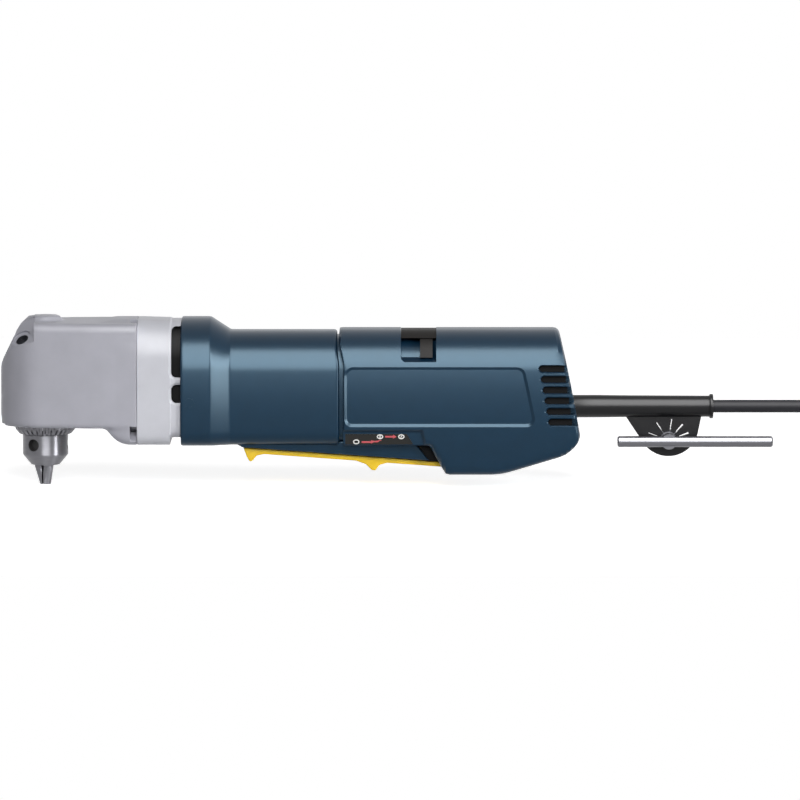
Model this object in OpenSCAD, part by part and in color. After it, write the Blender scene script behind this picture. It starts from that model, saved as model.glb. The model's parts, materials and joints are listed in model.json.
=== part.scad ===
// Right angle drill with a key chuck, a long trigger lever, a mains lead folded into a hank and a chuck key in its holder.
// Millimetres. The origin is on the spindle axis at the jaw tips, +X runs to the mains lead and +Z is up.

/* [Gear head] */
// Width of the head, twice its reach in front of the spindle axis
head_w = 53; // [52:0.5:58]
// Height of the head top above the motor axis
head_top = 32.5; // [32:0.5:34]
// Depth of the head bottom below the motor axis
head_drop = 30; // [29:0.5:31]
// Spindle axis to the joint with the flange
head_l = 56; // [56:0.5:60]
// Slope of the front bevel from the horizontal
bevel_a = 63; // [58:1:70]
// Height of the bevel's lower edge above the motor axis
bevel_z = 7; // [5:0.5:12]
// Height of the round boss on the head top
boss_h = 3.2; // [2:0.1:4]
// Radius of the threaded holes for a side handle
handle_r = 4; // [3:0.1:4.5]
// Depth of the threaded holes for a side handle
handle_depth = 7.5; // [6:0.5:8]

/* [Gear flange] */
// Length of the flange
flange_l = 26; // [26:0.5:30]
// Half width of the flange
flange_hw = 31; // [31:0.5:33]
// Height of the flange top above the motor axis
flange_top = 34.2; // [34:0.1:36]
// Depth of the flange bottom below the motor axis
flange_drop = 40; // [40:0.5:42]
// Length of the air outlets in its rear rim
outlet_l = 6.3; // [4:0.1:7]

/* [Motor housing] */
// Length of the fan collar
collar_l = 17.5; // [17:0.5:22]
// Half width of the fan collar
collar_hw = 33; // [33:0.5:36]
// Height of the collar top above the motor axis
collar_top = 34.7; // [34.5:0.1:36]
// Length of the taper behind the collar
taper_l = 12; // [8:0.5:16]
// Length of the grip tube
tube_l = 61.5; // [61:0.5:66]
// Half width of the grip tube
tube_hw = 26.7; // [26.7:0.1:30]
// Height of the tube top above the motor axis
tube_top = 26.8; // [26.8:0.1:30]
// Depth of the housing bottom below the motor axis
house_drop = 40.5; // [40:0.5:43]
// Wall of the moulded housings
wall = 2.6; // [2:0.1:3]
// Half width of the keel round the lever
keel_hw = 20; // [19:0.5:22]

/* [Rear housing] */
// Gap between the tube and the rear shells
groove_w = 3; // [2:0.5:4]
// Length of the rear shells
rear_l = 144; // [144:1:160]
// Half width of the rear shells
rear_hw = 28.5; // [28:0.5:31]
// Height of the rear shells above the motor axis
rear_top = 27.9; // [27.5:0.1:29]
// Depth of the belly below the motor axis
belly_drop = 58; // [57:0.5:60]
// Height of a vent slot
vent_h = 4.1; // [2.5:0.1:4.4]
// Depth of the bare side panel
panel_d = 0.6; // [0.3:0.1:1]

/* [Chuck] */
// Length of the chuck body
chuck_l = 33.5; // [33:0.5:36]
// Radius of the chuck body
chuck_r = 13.65; // [13.2:0.05:14]
// Radius of the toothed sleeve
sleeve_r = 18; // [17.8:0.1:18.4]
// Reach of the jaws below the nose
jaw_out = 12; // [10:0.5:14]
// Radius of a jaw
jaw_r = 2.9; // [2.6:0.1:3]
// Lean of the jaws from the chuck axis
jaw_a = 16; // [14:0.5:16.5]
// Radius of the holes for the chuck key
pilot_r = 3.7; // [3:0.1:4]
// Teeth on the sleeve
sleeve_teeth = 30; // [24:1:36]

/* [Trigger lever] */
// Length of the lever
lever_l = 119; // [110:1:119]
// Half width of the lever
lever_hw = 16.4; // [12:0.1:16.6]
// Thickness of the lever plate
lever_t = 3; // [2.4:0.1:3.4]

/* [Reversing slider] */
// Length of the slider's knobs
slider_l = 7.4; // [6:0.1:9]
// Thickness of the slider's saddle
slider_t = 3; // [2.4:0.1:3.4]

/* [Gears] */
// Module of the first stage
m1 = 0.75; // [0.74:0.01:0.76]
// Module of the second stage
m2 = 1; // [0.98:0.01:1.01]
// Outer module of the bevel stage
m3 = 1.5; // [1.4:0.05:1.5]
// Play between meshing flanks
backlash = 0.24; // [0.2:0.02:0.3]

/* [Mains lead] */
// Diameter of the lead
cord_d = 7.7; // [7:0.1:8]
// Length of the bend sleeve outside the housing
boot_l = 81; // [70:1:90]
// Radius of the bend sleeve
boot_r = 6.6; // [6:0.1:7]
// Radius of the key holder's disc
flap_r = 18.1; // [17:0.1:20]
// Length of the straight runs of the folded hank
run_l = 150; // [140:5:155]
// Radius of the hank's folds at the middle of its strands
fold_r = 30.4; // [30.2:0.1:31.5]

/* [Chuck key] */
// Length of the key bar
bar_l = 93; // [80:1:100]
// Radius of the key bar
bar_r = 3.3; // [2.8:0.1:3.4]
// Radius of the key head
key_head_r = 4.6; // [4.4:0.1:5]

/* [Hidden] */
$fn = 64;

// Running clearance of a shaft in its bearing, clearance of a seated piece, and clearance between loose pieces
run_fit = 0.05;
seat_fit = 0.03;
loose = 0.4;
// Overlap of a cutter past the face it cuts
cut = 0.5;

// Stations along X
collar_x = head_l + flange_l;
taper_x = collar_x + collar_l;
tube_x = taper_x + taper_l;
tube_end = tube_x + tube_l;
rear_x = tube_end + groove_w;
rear_end = rear_x + rear_l;

// Chuck heights, measured from the motor axis
recess_d = 10.5;
chuck_top = -(head_drop - recess_d) - 1;
nose_z = chuck_top - chuck_l;
tip_z = nose_z - jaw_out;
axis_h = -tip_z;

// Colours
cast_grey = [0.72, 0.72, 0.75];
flange_grey = [0.82, 0.82, 0.84];
housing_blue = [0.12, 0.23, 0.31];
steel = [0.6, 0.6, 0.62];
dark_steel = [0.3, 0.3, 0.32];
copper = [0.72, 0.42, 0.2];
brass = [0.8, 0.65, 0.3];
carbon = [0.12, 0.12, 0.12];
rubber = [0.08, 0.08, 0.08];
lever_yellow = [0.88, 0.74, 0.19];
slider_grey = [0.27, 0.25, 0.25];

module lift() translate([0, 0, axis_h]) children();
module along_x(x0, l) translate([x0, 0, 0]) rotate([90, 0, 90]) linear_extrude(l) children();
module along_y(w) rotate([90, 0, 0]) linear_extrude(w, center = true) children();
module rod_x(x0, l, r, z = 0, y = 0) translate([x0, y, z]) rotate([0, 90, 0]) cylinder(h = l, r = r);
module rod_y(y0, l, r, x = 0, z = 0) translate([x, y0, z]) rotate([-90, 0, 0]) cylinder(h = l, r = r);
module rod_z(z0, l, r, x = 0, y = 0) translate([x, y, z0]) cylinder(h = l, r = r);
module ring_x(x0, l, ro, ri, z = 0)
    difference() { rod_x(x0, l, ro, z); rod_x(x0 - cut, l + 2 * cut, ri, z); }
module block(x0, x1, hw, z0, z1) translate([x0, -hw, z0]) cube([x1 - x0, 2 * hw, z1 - z0]);
module both_sides() { children(); mirror([0, 1, 0]) children(); }

// Upright section with wide top corners of radius rt and bottom corners of radius rb
module tomb(hw, top, drop, rt, rb) {
    for (s = [-1, 1]) {
        translate([s * (hw - rt), top - rt]) circle(r = rt);
        translate([s * (hw - rb), rb - drop]) circle(r = rb);
    }
    translate([-hw, rb - drop]) square([2 * hw, top - rt + drop - rb]);
    translate([rt - hw, rb - drop]) square([2 * (hw - rt), top + drop - rb]);
    translate([rb - hw, -drop]) square([2 * (hw - rb), rb + cut]);
}

// Outline with each corner [x, y, r] rounded, and the same outline moved inwards by t
function unit(v) = v / norm(v);
function corner(a, b, c, r) = let (u = unit(a - b), v = unit(c - b), half = acos(u * v) / 2,
    m = b + unit(u + v) * r / sin(half), s = b + u * r / tan(half) - m,
    a0 = atan2(s[1], s[0]), turn = (180 - 2 * half) * sign(cross(b - a, c - b)))
    [for (i = [0 : 5]) m + r * [cos(a0 + turn * i / 5), sin(a0 + turn * i / 5)]];
function xy(p) = [p[0], p[1]];
function rounded(p) = let (n = len(p)) [for (i = [0 : n - 1])
    let (a = xy(p[(i + n - 1) % n]), b = xy(p[i]), c = xy(p[(i + 1) % n]))
    each p[i][2] > 0 ? corner(a, b, c, p[i][2]) : [b]];
function inset(p, t) = let (n = len(p)) [for (i = [0 : n - 1])
    let (a = xy(p[(i + n - 1) % n]), b = xy(p[i]), c = xy(p[(i + 1) % n]), u = unit(b - a), v = unit(c - b),
    k = t / (1 + u * v), q = b + k * ([-u[1], u[0]] + [-v[1], v[0]]))
    [q[0], q[1], max(0, p[i][2] - t * sign(cross(u, v)))]];

// Involute gear outline, teeth on the multiples of 360 / n
press_a = 20;
function inv(a) = tan(a) * 180 / PI - a;
function tooth_half(m, n, shift, r) = let (rp = m * n / 2, rb = rp * cos(press_a), rr = max(r, rb),
    s = m * (PI / 2 + 2 * shift * tan(press_a)) - backlash / 2)
    s / 2 / rp * 180 / PI + inv(press_a) - inv(acos(rb / rr));
function gear_outline(m, n, shift, add, ded) = let (rp = m * n / 2, r0 = rp + m * (shift - ded),
    r1 = rp + m * (shift + add), k = 6) [for (i = [0 : n - 1])
    each concat([for (j = [0 : k]) let (r = r0 + (r1 - r0) * j / k, a = i * 360 / n - tooth_half(m, n, shift, r))
        r * [cos(a), sin(a)]],
    [for (j = [k : -1 : 0]) let (r = r0 + (r1 - r0) * j / k, a = i * 360 / n + tooth_half(m, n, shift, r))
        r * [cos(a), sin(a)]])];

// Straight bevel gear with its apex at the origin and its body below; the teeth converge on the apex
function bevel_outline(m, n, ca, ro, z0, add, ded) = let (nv = n / cos(ca), rv = m * nv / 2, k = 6)
    [for (i = [0 : n - 1]) each concat(
    [for (j = [0 : k]) bevel_point(m, n, nv, rv, ca, ro, z0, -ded + (add + ded) * j / k, i, -1)],
    [for (j = [k : -1 : 0]) bevel_point(m, n, nv, rv, ca, ro, z0, -ded + (add + ded) * j / k, i, 1)])];
function bevel_point(m, n, nv, rv, ca, ro, z0, h, i, side) = let (
    t = (rv + h) * tooth_half(m, nv, 0, rv + h) * PI / 180, r = z0 * tan(ca + atan(h / ro)),
    a = i * 360 / n + side * t / (ro * sin(ca) + h * cos(ca)) * 180 / PI) r * [cos(a), sin(a)];
module bevel_teeth(m, n, ca, ro, ri, add, ded) {
    z0 = ro * cos(ca) + ded * sin(ca) + cut;
    z1 = (ri * cos(ca) - add * sin(ca)) * 0.9;
    intersection() {
        translate([0, 0, -z0]) linear_extrude(z0 - z1, scale = z1 / z0)
            polygon(bevel_outline(m, n, ca, ro, z0, add, ded + 0.2));
        rotate_extrude() polygon([for (p = [[ro, -ded - 0.2], [ro, add + cut], [ri, add + cut], [ri, -ded - 0.2]])
            [p[0] * sin(ca) + p[1] * cos(ca), -p[0] * cos(ca) + p[1] * sin(ca)]]);
    }
}

// Tube of n sides along a path of points that never runs along the direction up
function frame_of(p, i, up) = let (n = len(p), t = unit(p[min(i + 1, n - 1)] - p[max(i - 1, 0)]),
    s = unit(cross(t, up))) [s, cross(s, t)];
module tube(path, r, n, up = [0, 0, 1]) {
    k = len(path);
    pts = [for (i = [0 : k - 1]) let (f = frame_of(path, i, up)) for (j = [0 : n - 1])
        path[i] + r * (cos(j * 360 / n) * f[0] + sin(j * 360 / n) * f[1])];
    faces = concat([[for (j = [0 : n - 1]) j]], [[for (j = [n - 1 : -1 : 0]) (k - 1) * n + j]],
        [for (i = [0 : k - 2]) for (j = [0 : n - 1]) let (a = i * n + j, b = i * n + (j + 1) % n)
            each [[a, a + n, b + n], [a, b + n, b]]]);
    polyhedron(pts, faces, convexity = 10);
}

// Gear train: teeth, stations and heights
arm_n = 8; first_n = 44; counter_n = 13; second_n = 26; pinion_n = 10; crown_n = 24;
counter_z = -m1 * (arm_n + first_n) / 2;
shift1 = 0.4;
shift2 = 0.2;
first_x = head_l + 8; gear_w = 7;
second_x = head_l - 12;
cone_a = atan(crown_n / pinion_n);
cone_r = m3 * crown_n / 2 / sin(cone_a);
cone_in = cone_r - 7.5;
tooth_add = 0.85 * m3;
tooth_ded = 1.2 * m3;

// Bearings as [bore radius, outer radius, width]
lower_bearing = [6, 12, 6];
upper_bearing = [4, 11, 7];
shaft_bearing = [5, 13, 8];
front_bearing = [4, 11, 7];
rear_bearing = [3, 9.5, 6];
recess_z = recess_d - head_drop;
lower_z = recess_z + 1.5;
holder_top = lower_z + lower_bearing[2] + 0.2;
upper_z = head_top - 12.5;
shaft_bearing_x = 26;
front_x = collar_x - 9;
spigot_end = tube_end + 8;
rear_bearing_x = spigot_end - rear_bearing[2] - 0.5;
module bearing(b)
    rotate_extrude() polygon([[b[0] + run_fit, 0], [b[0] + 1.4, 0], [b[0] + 1.4, 0.4], [b[1] - 1.6, 0.4],
        [b[1] - 1.6, 0], [b[1] - seat_fit, 0], [b[1] - seat_fit, b[2]], [b[1] - 1.6, b[2]],
        [b[1] - 1.6, b[2] - 0.4], [b[0] + 1.4, b[2] - 0.4], [b[0] + 1.4, b[2]], [b[0] + run_fit, b[2]]]);
module bearing_x(x0, b) translate([x0, 0, 0]) rotate([0, 90, 0]) bearing(b);

// Screws of the head as [y, z], shared by the head, the flange and the collar
head_screw_at = [[-16, 24.2], [16, 24.2], [-24, -28], [24, -28]];
head_screw_r = 2;
head_screw_head = 3.7;
pocket_l = 4.2;
module flange_section() tomb(flange_hw, flange_top, flange_drop, 22, 7);

// Cast gear head
bevel_edge = [-head_w / 2, bevel_z];
handle_dir = [-0.4, -0.52, 0.755];
handle_at = [-13.4, -17.4, 23.4];
pocket_x = -5.4;
module aim(d) rotate([0, acos(d[2] / norm(d)), atan2(d[1], d[0])]) children();
module gear_head() color(cast_grey) difference() {
    union() {
        intersection() {
            union() {
                rod_z(-head_drop, head_drop + head_top, head_w / 2);
                block(0, head_l - 18, head_w / 2, -head_drop, head_top);
            }
            along_x(-head_w, 2 * head_w + head_l) tomb(head_w / 2, head_top, head_drop, 7, 2.5);
        }
        intersection() {
            along_x(head_l - 22, 22) flange_section();
            along_y(4 * flange_hw) polygon([[head_l - 22, -head_drop + 1], [head_l - 20, -head_drop + 1],
                [head_l - 10.5, -flange_drop], [head_l, -flange_drop], [head_l, flange_top],
                [head_l - 17, flange_top], [head_l - 22, head_top - 1]]);
            linear_extrude(4 * head_w, center = true) polygon([[head_l - 22, -head_w / 2 + 1],
                [head_l - 17, -flange_hw], [head_l, -flange_hw], [head_l, flange_hw], [head_l - 17, flange_hw],
                [head_l - 22, head_w / 2 - 1]]);
        }
        translate([0, 0, head_top - cut]) cylinder(h = boss_h + cut, r1 = 11.5, r2 = 9);
    }
    // Front bevel, corner pockets and the threaded holes in them
    translate([bevel_edge[0], 0, bevel_edge[1]]) rotate([0, -bevel_a, 0])
        translate([-20, -head_w, 0]) cube([80, 2 * head_w, 40]);
    both_sides() {
        intersection() {
            translate(handle_at) aim(handle_dir) translate([-30, -30, 0]) cube([60, 60, 30]);
            translate([-head_w, -head_w, 0]) cube([head_w + pocket_x, head_w, head_w]);
        }
        translate(handle_at) aim(handle_dir) translate([0, 0, -handle_depth]) cylinder(h = handle_depth + 4, r = handle_r);
        translate(handle_at) aim(handle_dir) translate([0, 0, -1.5]) cylinder(h = 6, r = handle_r + 2.2);
    }
    // Bearing holder bore, gear room, upper bearing seat
    rod_z(-head_drop - cut, head_drop + holder_top + cut, holder_r + seat_fit);
    rod_z(holder_top - cut, gear_room_top - holder_top + cut, gear_room_r);
    rod_z(gear_room_top - cut, upper_z + upper_bearing[2] - gear_room_top + cut, upper_bearing[1]);
    // Pinion shaft room, its bearing seat, second stage room and countershaft bush seat
    rod_x(0, shaft_bearing_x + cut, 10.6);
    rod_x(shaft_bearing_x, head_l, shaft_bearing[1]);
    rod_x(shaft_bearing_x + shaft_bearing[2] + 0.5, head_l, stage_r);
    rod_x(second_x - 2.2, head_l, 9.4, counter_z);
    rod_x(counter_x, second_x - counter_x, counter_bush_r + seat_fit, counter_z);
    for (p = head_screw_at) {
        rod_x(head_l - pocket_l, pocket_l + cut, head_screw_head + 0.5, p[1], p[0]);
        translate([head_l - pocket_l, p[0], p[1]]) rotate([p[1] > 0 ? 0 : sign(p[0]) * -130, 0, 0])
            translate([0, -head_screw_head, 0]) cube([pocket_l + cut, 2 * head_screw_head, 20]);
    }
}
gear_room_r = m3 * crown_n / 2 + 2.4;
gear_room_top = 8;
stage_r = m2 * second_n / 2 + 2;
holder_r = gear_room_r + 0.6;
counter_x = second_x - 7;
counter_r = 3.5;
counter_bush_r = 5.5;
plate_t = 4.5;

// Ring screwed into the head bottom, with the lower bearing seat above the chuck recess
module bearing_holder() color(steel) difference() {
    rod_z(-head_drop, head_drop + holder_top, holder_r);
    rod_z(-head_drop - cut, recess_d + cut, sleeve_r + 1.5);
    rod_z(recess_z - cut, 2 + cut, 9);
    rod_z(lower_z, lower_bearing[2] + 1, lower_bearing[1]);
}

// Plate between the two gear stages, with the rear bush of the pinion shaft
module plate_outline(t) {
    translate([0, counter_z]) circle(r = m1 * first_n / 2 + 1.6 + t);
    circle(r = 15 + t);
}
pinion_rear_r = 4;
module gear_plate() color(steel) difference() {
    along_x(head_l, plate_t) plate_outline(-0.1);
    rod_x(head_l - cut, plate_t + 2 * cut, pinion_rear_r + run_fit);
    rod_x(head_l - cut, plate_t + 2 * cut, counter_r + 1, counter_z);
}

// Cast flange: first stage room, motor bearing seat, countershaft bush seat and air outlets
stage1_end = head_l + 16;
// Side air outlets as [lower edge, height]
outlet_at = [[0.6, 30], [-14.6, 11]];
module gear_flange() color(flange_grey) difference() {
    union() {
        along_x(head_l, flange_l - outlet_l) flange_section();
        along_x(head_l + plate_t, flange_l - plate_t) tomb(flange_hw - 0.6, flange_top - 1, flange_drop - 4.5, 22, 7);
    }
    along_x(head_l - cut, plate_t + cut) plate_outline(0);
    along_x(head_l + plate_t - cut, stage1_end - head_l - plate_t + cut) {
        translate([0, counter_z]) circle(r = m1 * first_n / 2 + 1.2);
        circle(r = 6);
    }
    rod_x(stage1_end - cut, flange_l, front_bearing[0] + 2.5);
    rod_x(front_x, flange_l, front_bearing[1]);
    rod_x(stage1_end - cut, 5 + cut, counter_bush_r + seat_fit, counter_z);
    // Air room behind the wall and its side and bottom outlets
    difference() {
        along_x(collar_x - outlet_l + 0.6, outlet_l) tomb(flange_hw - 2.8, flange_top - 3.8, flange_drop - 7.3, 19, 4);
        rod_x(collar_x - outlet_l - cut, outlet_l + 2 * cut, front_bearing[1] + 3);
        rod_x(collar_x - outlet_l - cut, outlet_l - 2, counter_bush_r + 2, counter_z);
        for (p = head_screw_at) rod_x(collar_x - outlet_l - cut, outlet_l + 2 * cut, head_screw_r + 2.45, p[1], p[0]);
    }
    both_sides() for (s = outlet_at)
        translate([collar_x - outlet_l + 0.9, -flange_hw - cut, s[0]]) cube([outlet_l, 5, s[1]]);
    for (p = head_screw_at) rod_x(head_l - cut, flange_l + 2 * cut, head_screw_r + 0.2, p[1], p[0]);
}

// Motor housing: fan collar, taper, grip tube with its keel, and the rear bearing spigot
mouth_slope = 8.3 / 116.4;
mouth_x = tube_x + 7;
mouth_z = -house_drop - 1.5;
keel_end = rear_x + 51.4;
function mouth(x) = mouth_z - (x - mouth_x) * mouth_slope;
spigot_r = 20;
pivot = [mouth_x + 3.4, -house_drop + 3.4];
pin_r = 1.5;
module collar_section(t) tomb(collar_hw - t, collar_top - t, house_drop - t, 30 - t, 8 - t);
module tube_section(t) tomb(tube_hw - t, tube_top - t, house_drop - t, 22.5 - t, 8 - t);
module motor_housing() color(housing_blue) difference() {
    union() {
        along_x(collar_x, collar_l) collar_section(0);
        hull() {
            along_x(taper_x - 0.01, 0.01) collar_section(0);
            along_x(tube_x, 0.01) tube_section(0);
        }
        along_x(tube_x, tube_l) tube_section(0);
        rod_x(tube_end - 2, spigot_end - tube_end + 2, spigot_r);
        along_y(2 * keel_hw) polygon([[mouth_x - 5, -house_drop + 1], [tube_end, -house_drop + 1],
            [tube_end, -house_drop], [keel_end, -house_drop], [keel_end + 6, mouth(keel_end + 6)],
            [mouth_x, mouth_z], [mouth_x - 3, -house_drop]]);
    }
    // Fan room and motor room
    rod_x(collar_x - cut, collar_l - 1 + cut, fan_room_r);
    difference() {
        along_x(taper_x - 2, tube_end - taper_x - 2) tube_section(wall);
        for (x = [stator_x + 2, stator_x + stator_l - 5]) difference() {
            block(x, x + 3, tube_hw, -house_drop, 0);
            rod_x(x - cut, 3 + 2 * cut, stator_r + seat_fit);
        }
        along_y(2 * tube_hw) translate(pivot) circle(r = 4.4);
        block(pivot[0] - 4.4, pivot[0] + 4.4, tube_hw, -house_drop, pivot[1]);
    }
    // Rear bearing seat, shaft hole and air holes of the spigot
    rod_x(rear_bearing_x, 12, rear_bearing[1]);
    rod_x(tube_end - 6, 20, rear_bearing[0] + 1.6);
    for (a = [0 : 45 : 315]) rotate([a, 0, 0]) rod_x(tube_end - 6, 20, 2.6, 14.8);
    // Lever channel of the keel, hinge slot and pin bore
    along_y(2 * (lever_hw + loose)) polygon([[pivot[0] - 4.6, -house_drop + 0.2], [mouth_x - 2.4, mouth_z - 3],
        [keel_end + 8, mouth(keel_end) - 4], [keel_end + 8, -house_drop + 0.2]]);
    block(pivot[0] - 4.8, pivot[0] + 5.4, lever_hw + loose, -house_drop - 2, pivot[1] + 6);
    rod_y(-lever_hw - 2.2, 2 * lever_hw + 4.4, pin_r + seat_fit, pivot[0], pivot[1]);
    for (p = head_screw_at) rod_x(collar_x - cut, 11 + cut, head_screw_r + seat_fit, p[1], p[0]);
}
fan_room_r = 25.4;

// Rear shells: outline [x, z, corner radius] from the rear top corner, anticlockwise
belly_x = rear_x + 66;
rear_outline = [[rear_x, rear_top, 2], [rear_x, -house_drop, 0], [keel_end + 0.4, -house_drop, 0],
    [keel_end + 6.6, mouth(keel_end + 6), 2], [belly_x, -belly_drop, 2], [belly_x + 29, -belly_drop, 3],
    [rear_end - 6, -belly_drop + 14, 6], [rear_end, -32, 5], [rear_end - 5.8, 6, 20], [rear_end - 11.8, rear_top, 4]];
module rear_solid(t) intersection() {
    along_y(4 * rear_hw) polygon(rounded(inset(rear_outline, t)));
    along_x(rear_x + t, rear_l) tomb(rear_hw - t, rear_top - t, belly_drop - t, 23 - t, 8 - t);
}
window = [rear_x + 37.4, rear_x + 58.4, 9.8];
window_d = slider_t + 1;
vent_pitch = 6.4;
vent_top = 5.8;
function vent_x(i) = rear_end - 24.4 + 1.1 * i;
shell_screw_at = [[rear_x + 12, -26], [rear_x + 94, 18], [rear_x + rear_l * 11 / 18, -44], [rear_end - 14, -36]];
pillar_r = 4;
shell_screw_r = 1.8;
cord_z = -19.2;
boot_root_r = boot_r + 2;
module rear_body() difference() {
    rear_solid(0);
    difference() {
        rear_solid(wall);
        // Saddle under the slider window, screw pillars and the cord clamp pillar
        intersection() {
            block(window[0] - wall, window[1] + wall, rear_hw, window[2] - wall, rear_top);
            difference() {
                rear_solid(0);
                along_x(rear_x, rear_l) tomb(rear_hw - window_d - wall, rear_top - window_d - wall, belly_drop - wall, 17, 6);
            }
        }
        for (p = shell_screw_at) rod_y(-rear_hw, 2 * rear_hw, pillar_r, p[0], p[1]);
        block(clamp_x, clamp_x + clamp_w, clamp_hw + 1, -belly_drop, cord_z - cord_d / 2);
    }
    // Slider window with its stem slot, side panels, label beds and vents
    difference() {
        block(window[0], window[1], rear_hw + cut, window[2], rear_top + cut);
        along_x(rear_x, rear_l) tomb(rear_hw - window_d, rear_top - window_d, belly_drop, 19, 8);
    }
    block(window[0] + 2, window[1] - 2, stem_hw + loose, 0, rear_top);
    both_sides() {
        translate([0, -rear_hw + panel_d, 0]) rotate([90, 0, 0]) linear_extrude(2) polygon(rounded([
            [rear_x + 4.6, -28, 3], [rear_end - 27.4, -28, 3], [rear_end - 34.6, 4.4, 4], [rear_x + 4.6, 4.4, 4]]));
        translate([0, label_y + label_t, 0]) rotate([90, 0, 0]) linear_extrude(9) polygon([[rear_x - 1, -32.4],
            [rear_x - 1, -house_drop - 1], [keel_end + 1, -house_drop - 1], [keel_end - 5, -32.4]]);
        for (i = [0 : 5]) translate([vent_x(i) + vent_h / 2, 0, vent_top - i * vent_pitch]) {
            rod_y(-rear_hw - cut, 9, vent_h / 2);
            translate([0, -rear_hw - cut, -vent_h / 2]) cube([60, rear_hw - 12, vent_h]);
        }
    }
    // Motor spigot, plunger hole, lever slot and cord sleeve bore
    rod_x(rear_x - cut, 6, spigot_r + 0.2);
    rod_z(-house_drop - 2, 8, 4.6, plunger_x);
    block(keel_end - 2, lever_x + lever_l + 3, lever_hw + loose, -belly_drop - 1, mouth(keel_end) + 7.6);
    rod_x(rear_end - 14, 30, boot_r + seat_fit, cord_z);
    rod_x(rear_end - 10, 3, boot_root_r + seat_fit, cord_z);
}
label_y = -rear_hw + 1.6;
label_t = 0.3;
module rear_shell_left() color(housing_blue) difference() {
    rear_body();
    translate([0, 0, -rear_l]) cube([2 * rear_end, rear_hw * 2, 2 * rear_l]);
    for (p = shell_screw_at) rod_y(-12, 20, shell_screw_r + seat_fit, p[0], p[1]);
    for (s = [-1, 1]) rod_z(cord_z - 20, 20, clamp_screw_r + seat_fit, clamp_x + clamp_w / 2, s * clamp_screw_y);
}
module rear_shell_right() color(housing_blue) difference() {
    rear_body();
    translate([0, -2 * rear_hw, -rear_l]) cube([2 * rear_end, rear_hw * 2, 2 * rear_l]);
    for (p = shell_screw_at) {
        rod_y(-1, 2 * rear_hw, shell_screw_r + 0.2, p[0], p[1]);
        rod_y(screw_seat_y, rear_hw, 3.4, p[0], p[1]);
    }
    for (s = [-1, 1]) rod_z(cord_z - 20, 20, clamp_screw_r + seat_fit, clamp_x + clamp_w / 2, s * clamp_screw_y);
}
screw_seat_y = rear_hw - 9;

module head_screws() color(dark_steel) for (p = head_screw_at) difference() {
    union() {
        rod_x(head_l, flange_l + 10, head_screw_r, p[1], p[0]);
        rod_x(head_l - 3.4, 3.4, head_screw_head, p[1], p[0]);
    }
    translate([head_l - 3.9, p[0], p[1]]) rotate([0, 90, 0]) cylinder(h = 2.2, r = 1.7, $fn = 6);
}
module shell_screws() color(dark_steel) for (p = shell_screw_at) difference() {
    union() {
        rod_y(-11, screw_seat_y + 11, shell_screw_r, p[0], p[1]);
        rod_y(screw_seat_y, 2.4, 3.1, p[0], p[1]);
    }
    translate([p[0], screw_seat_y + 1.2, p[1]]) rotate([-90, 0, 0]) cylinder(h = 2, r = 1.5, $fn = 6);
}
module switch_labels() color(rubber) both_sides() translate([0, label_y + label_t, 0]) rotate([90, 0, 0])
    linear_extrude(label_t) polygon([[rear_x + 4, -33.2], [rear_x + 4, -house_drop + 0.8],
        [rear_x + 41, -house_drop + 0.8], [rear_x + 45, -33.2]]);

// Motor
core_x = tube_x + 2; core_l = 38; core_r = 13.6;
stator_x = core_x; stator_l = core_l; stator_r = 23.8; stator_bore = 14.2;
comm_x = core_x + core_l + 7; comm_l = 10; comm_r = 10;
fan_x = collar_x + 4;
module armature_shaft() color(steel) {
    rod_x(front_x - 2, tube_end - front_x - 2, front_bearing[0]);
    rod_x(tube_end - 5, spigot_end - 0.5 - tube_end + 5, rear_bearing[0]);
    along_x(first_x - 1, front_x - first_x - 1) polygon(gear_outline(m1, arm_n, shift1, 0.85, 1.15));
}
module armature_core() color(dark_steel) along_x(core_x, core_l) difference() {
    circle(r = core_r);
    circle(r = front_bearing[0]);
    for (a = [0 : 30 : 330]) rotate(a) translate([7.4, -1.5]) square([5, 3]);
    for (a = [0 : 30 : 330]) rotate(a) translate([12, -0.6]) square([3, 1.2]);
}
module armature_windings() color(copper) {
    for (x = [core_x - 5.5, core_x + core_l]) ring_x(x, 5.5, 12.2, front_bearing[0] + 2.4);
    along_x(core_x, core_l) for (a = [0 : 30 : 330]) rotate(a) translate([7.6, -1.3]) square([4.4, 2.6]);
}
module commutator() color(copper) along_x(comm_x, comm_l) difference() {
    circle(r = comm_r);
    circle(r = front_bearing[0]);
    for (a = [0 : 15 : 345]) rotate(a) translate([comm_r - 1.5, -0.3]) square([3, 0.6]);
}
module cooling_fan() color(rubber) {
    difference() {
        union() { rod_x(fan_x, 1.6, 24.4); rod_x(fan_x, 11, 8); }
        rod_x(fan_x - cut, 12, front_bearing[0]);
    }
    for (a = [0 : 30 : 330]) rotate([a, 0, 0]) translate([fan_x + 1.6, -0.8, 10]) cube([8, 1.6, 14]);
}
module stator_core() color(dark_steel) along_x(stator_x, stator_l) difference() {
    circle(r = stator_r);
    circle(r = stator_bore);
    for (s = [-1, 1]) intersection() {
        difference() { circle(r = 20.4); circle(r = stator_bore - 1); }
        polygon([[0, 0], [s * 40, 26], [s * 40, -26]]);
    }
}
module coil_arc(a) intersection() {
    difference() { circle(r = 20); circle(r = 15); }
    polygon([[0, 0], 60 * [cos(90 - a), sin(90 - a)], [0, 90], 60 * [cos(90 + a), sin(90 + a)]]);
}
module field_coils() color(copper) for (s = [0, 180]) rotate([s, 0, 0]) {
    along_x(stator_x - 4.5, 4.3) coil_arc(86);
    along_x(stator_x + stator_l + 0.2, 4.3) coil_arc(86);
    along_x(stator_x - 0.5, stator_l + 1) difference() { coil_arc(86); coil_arc(60); }
}
module motor_bearing_front() color(steel) bearing_x(front_x, front_bearing);
module motor_bearing_rear() color(steel) bearing_x(rear_bearing_x, rear_bearing);
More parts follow.
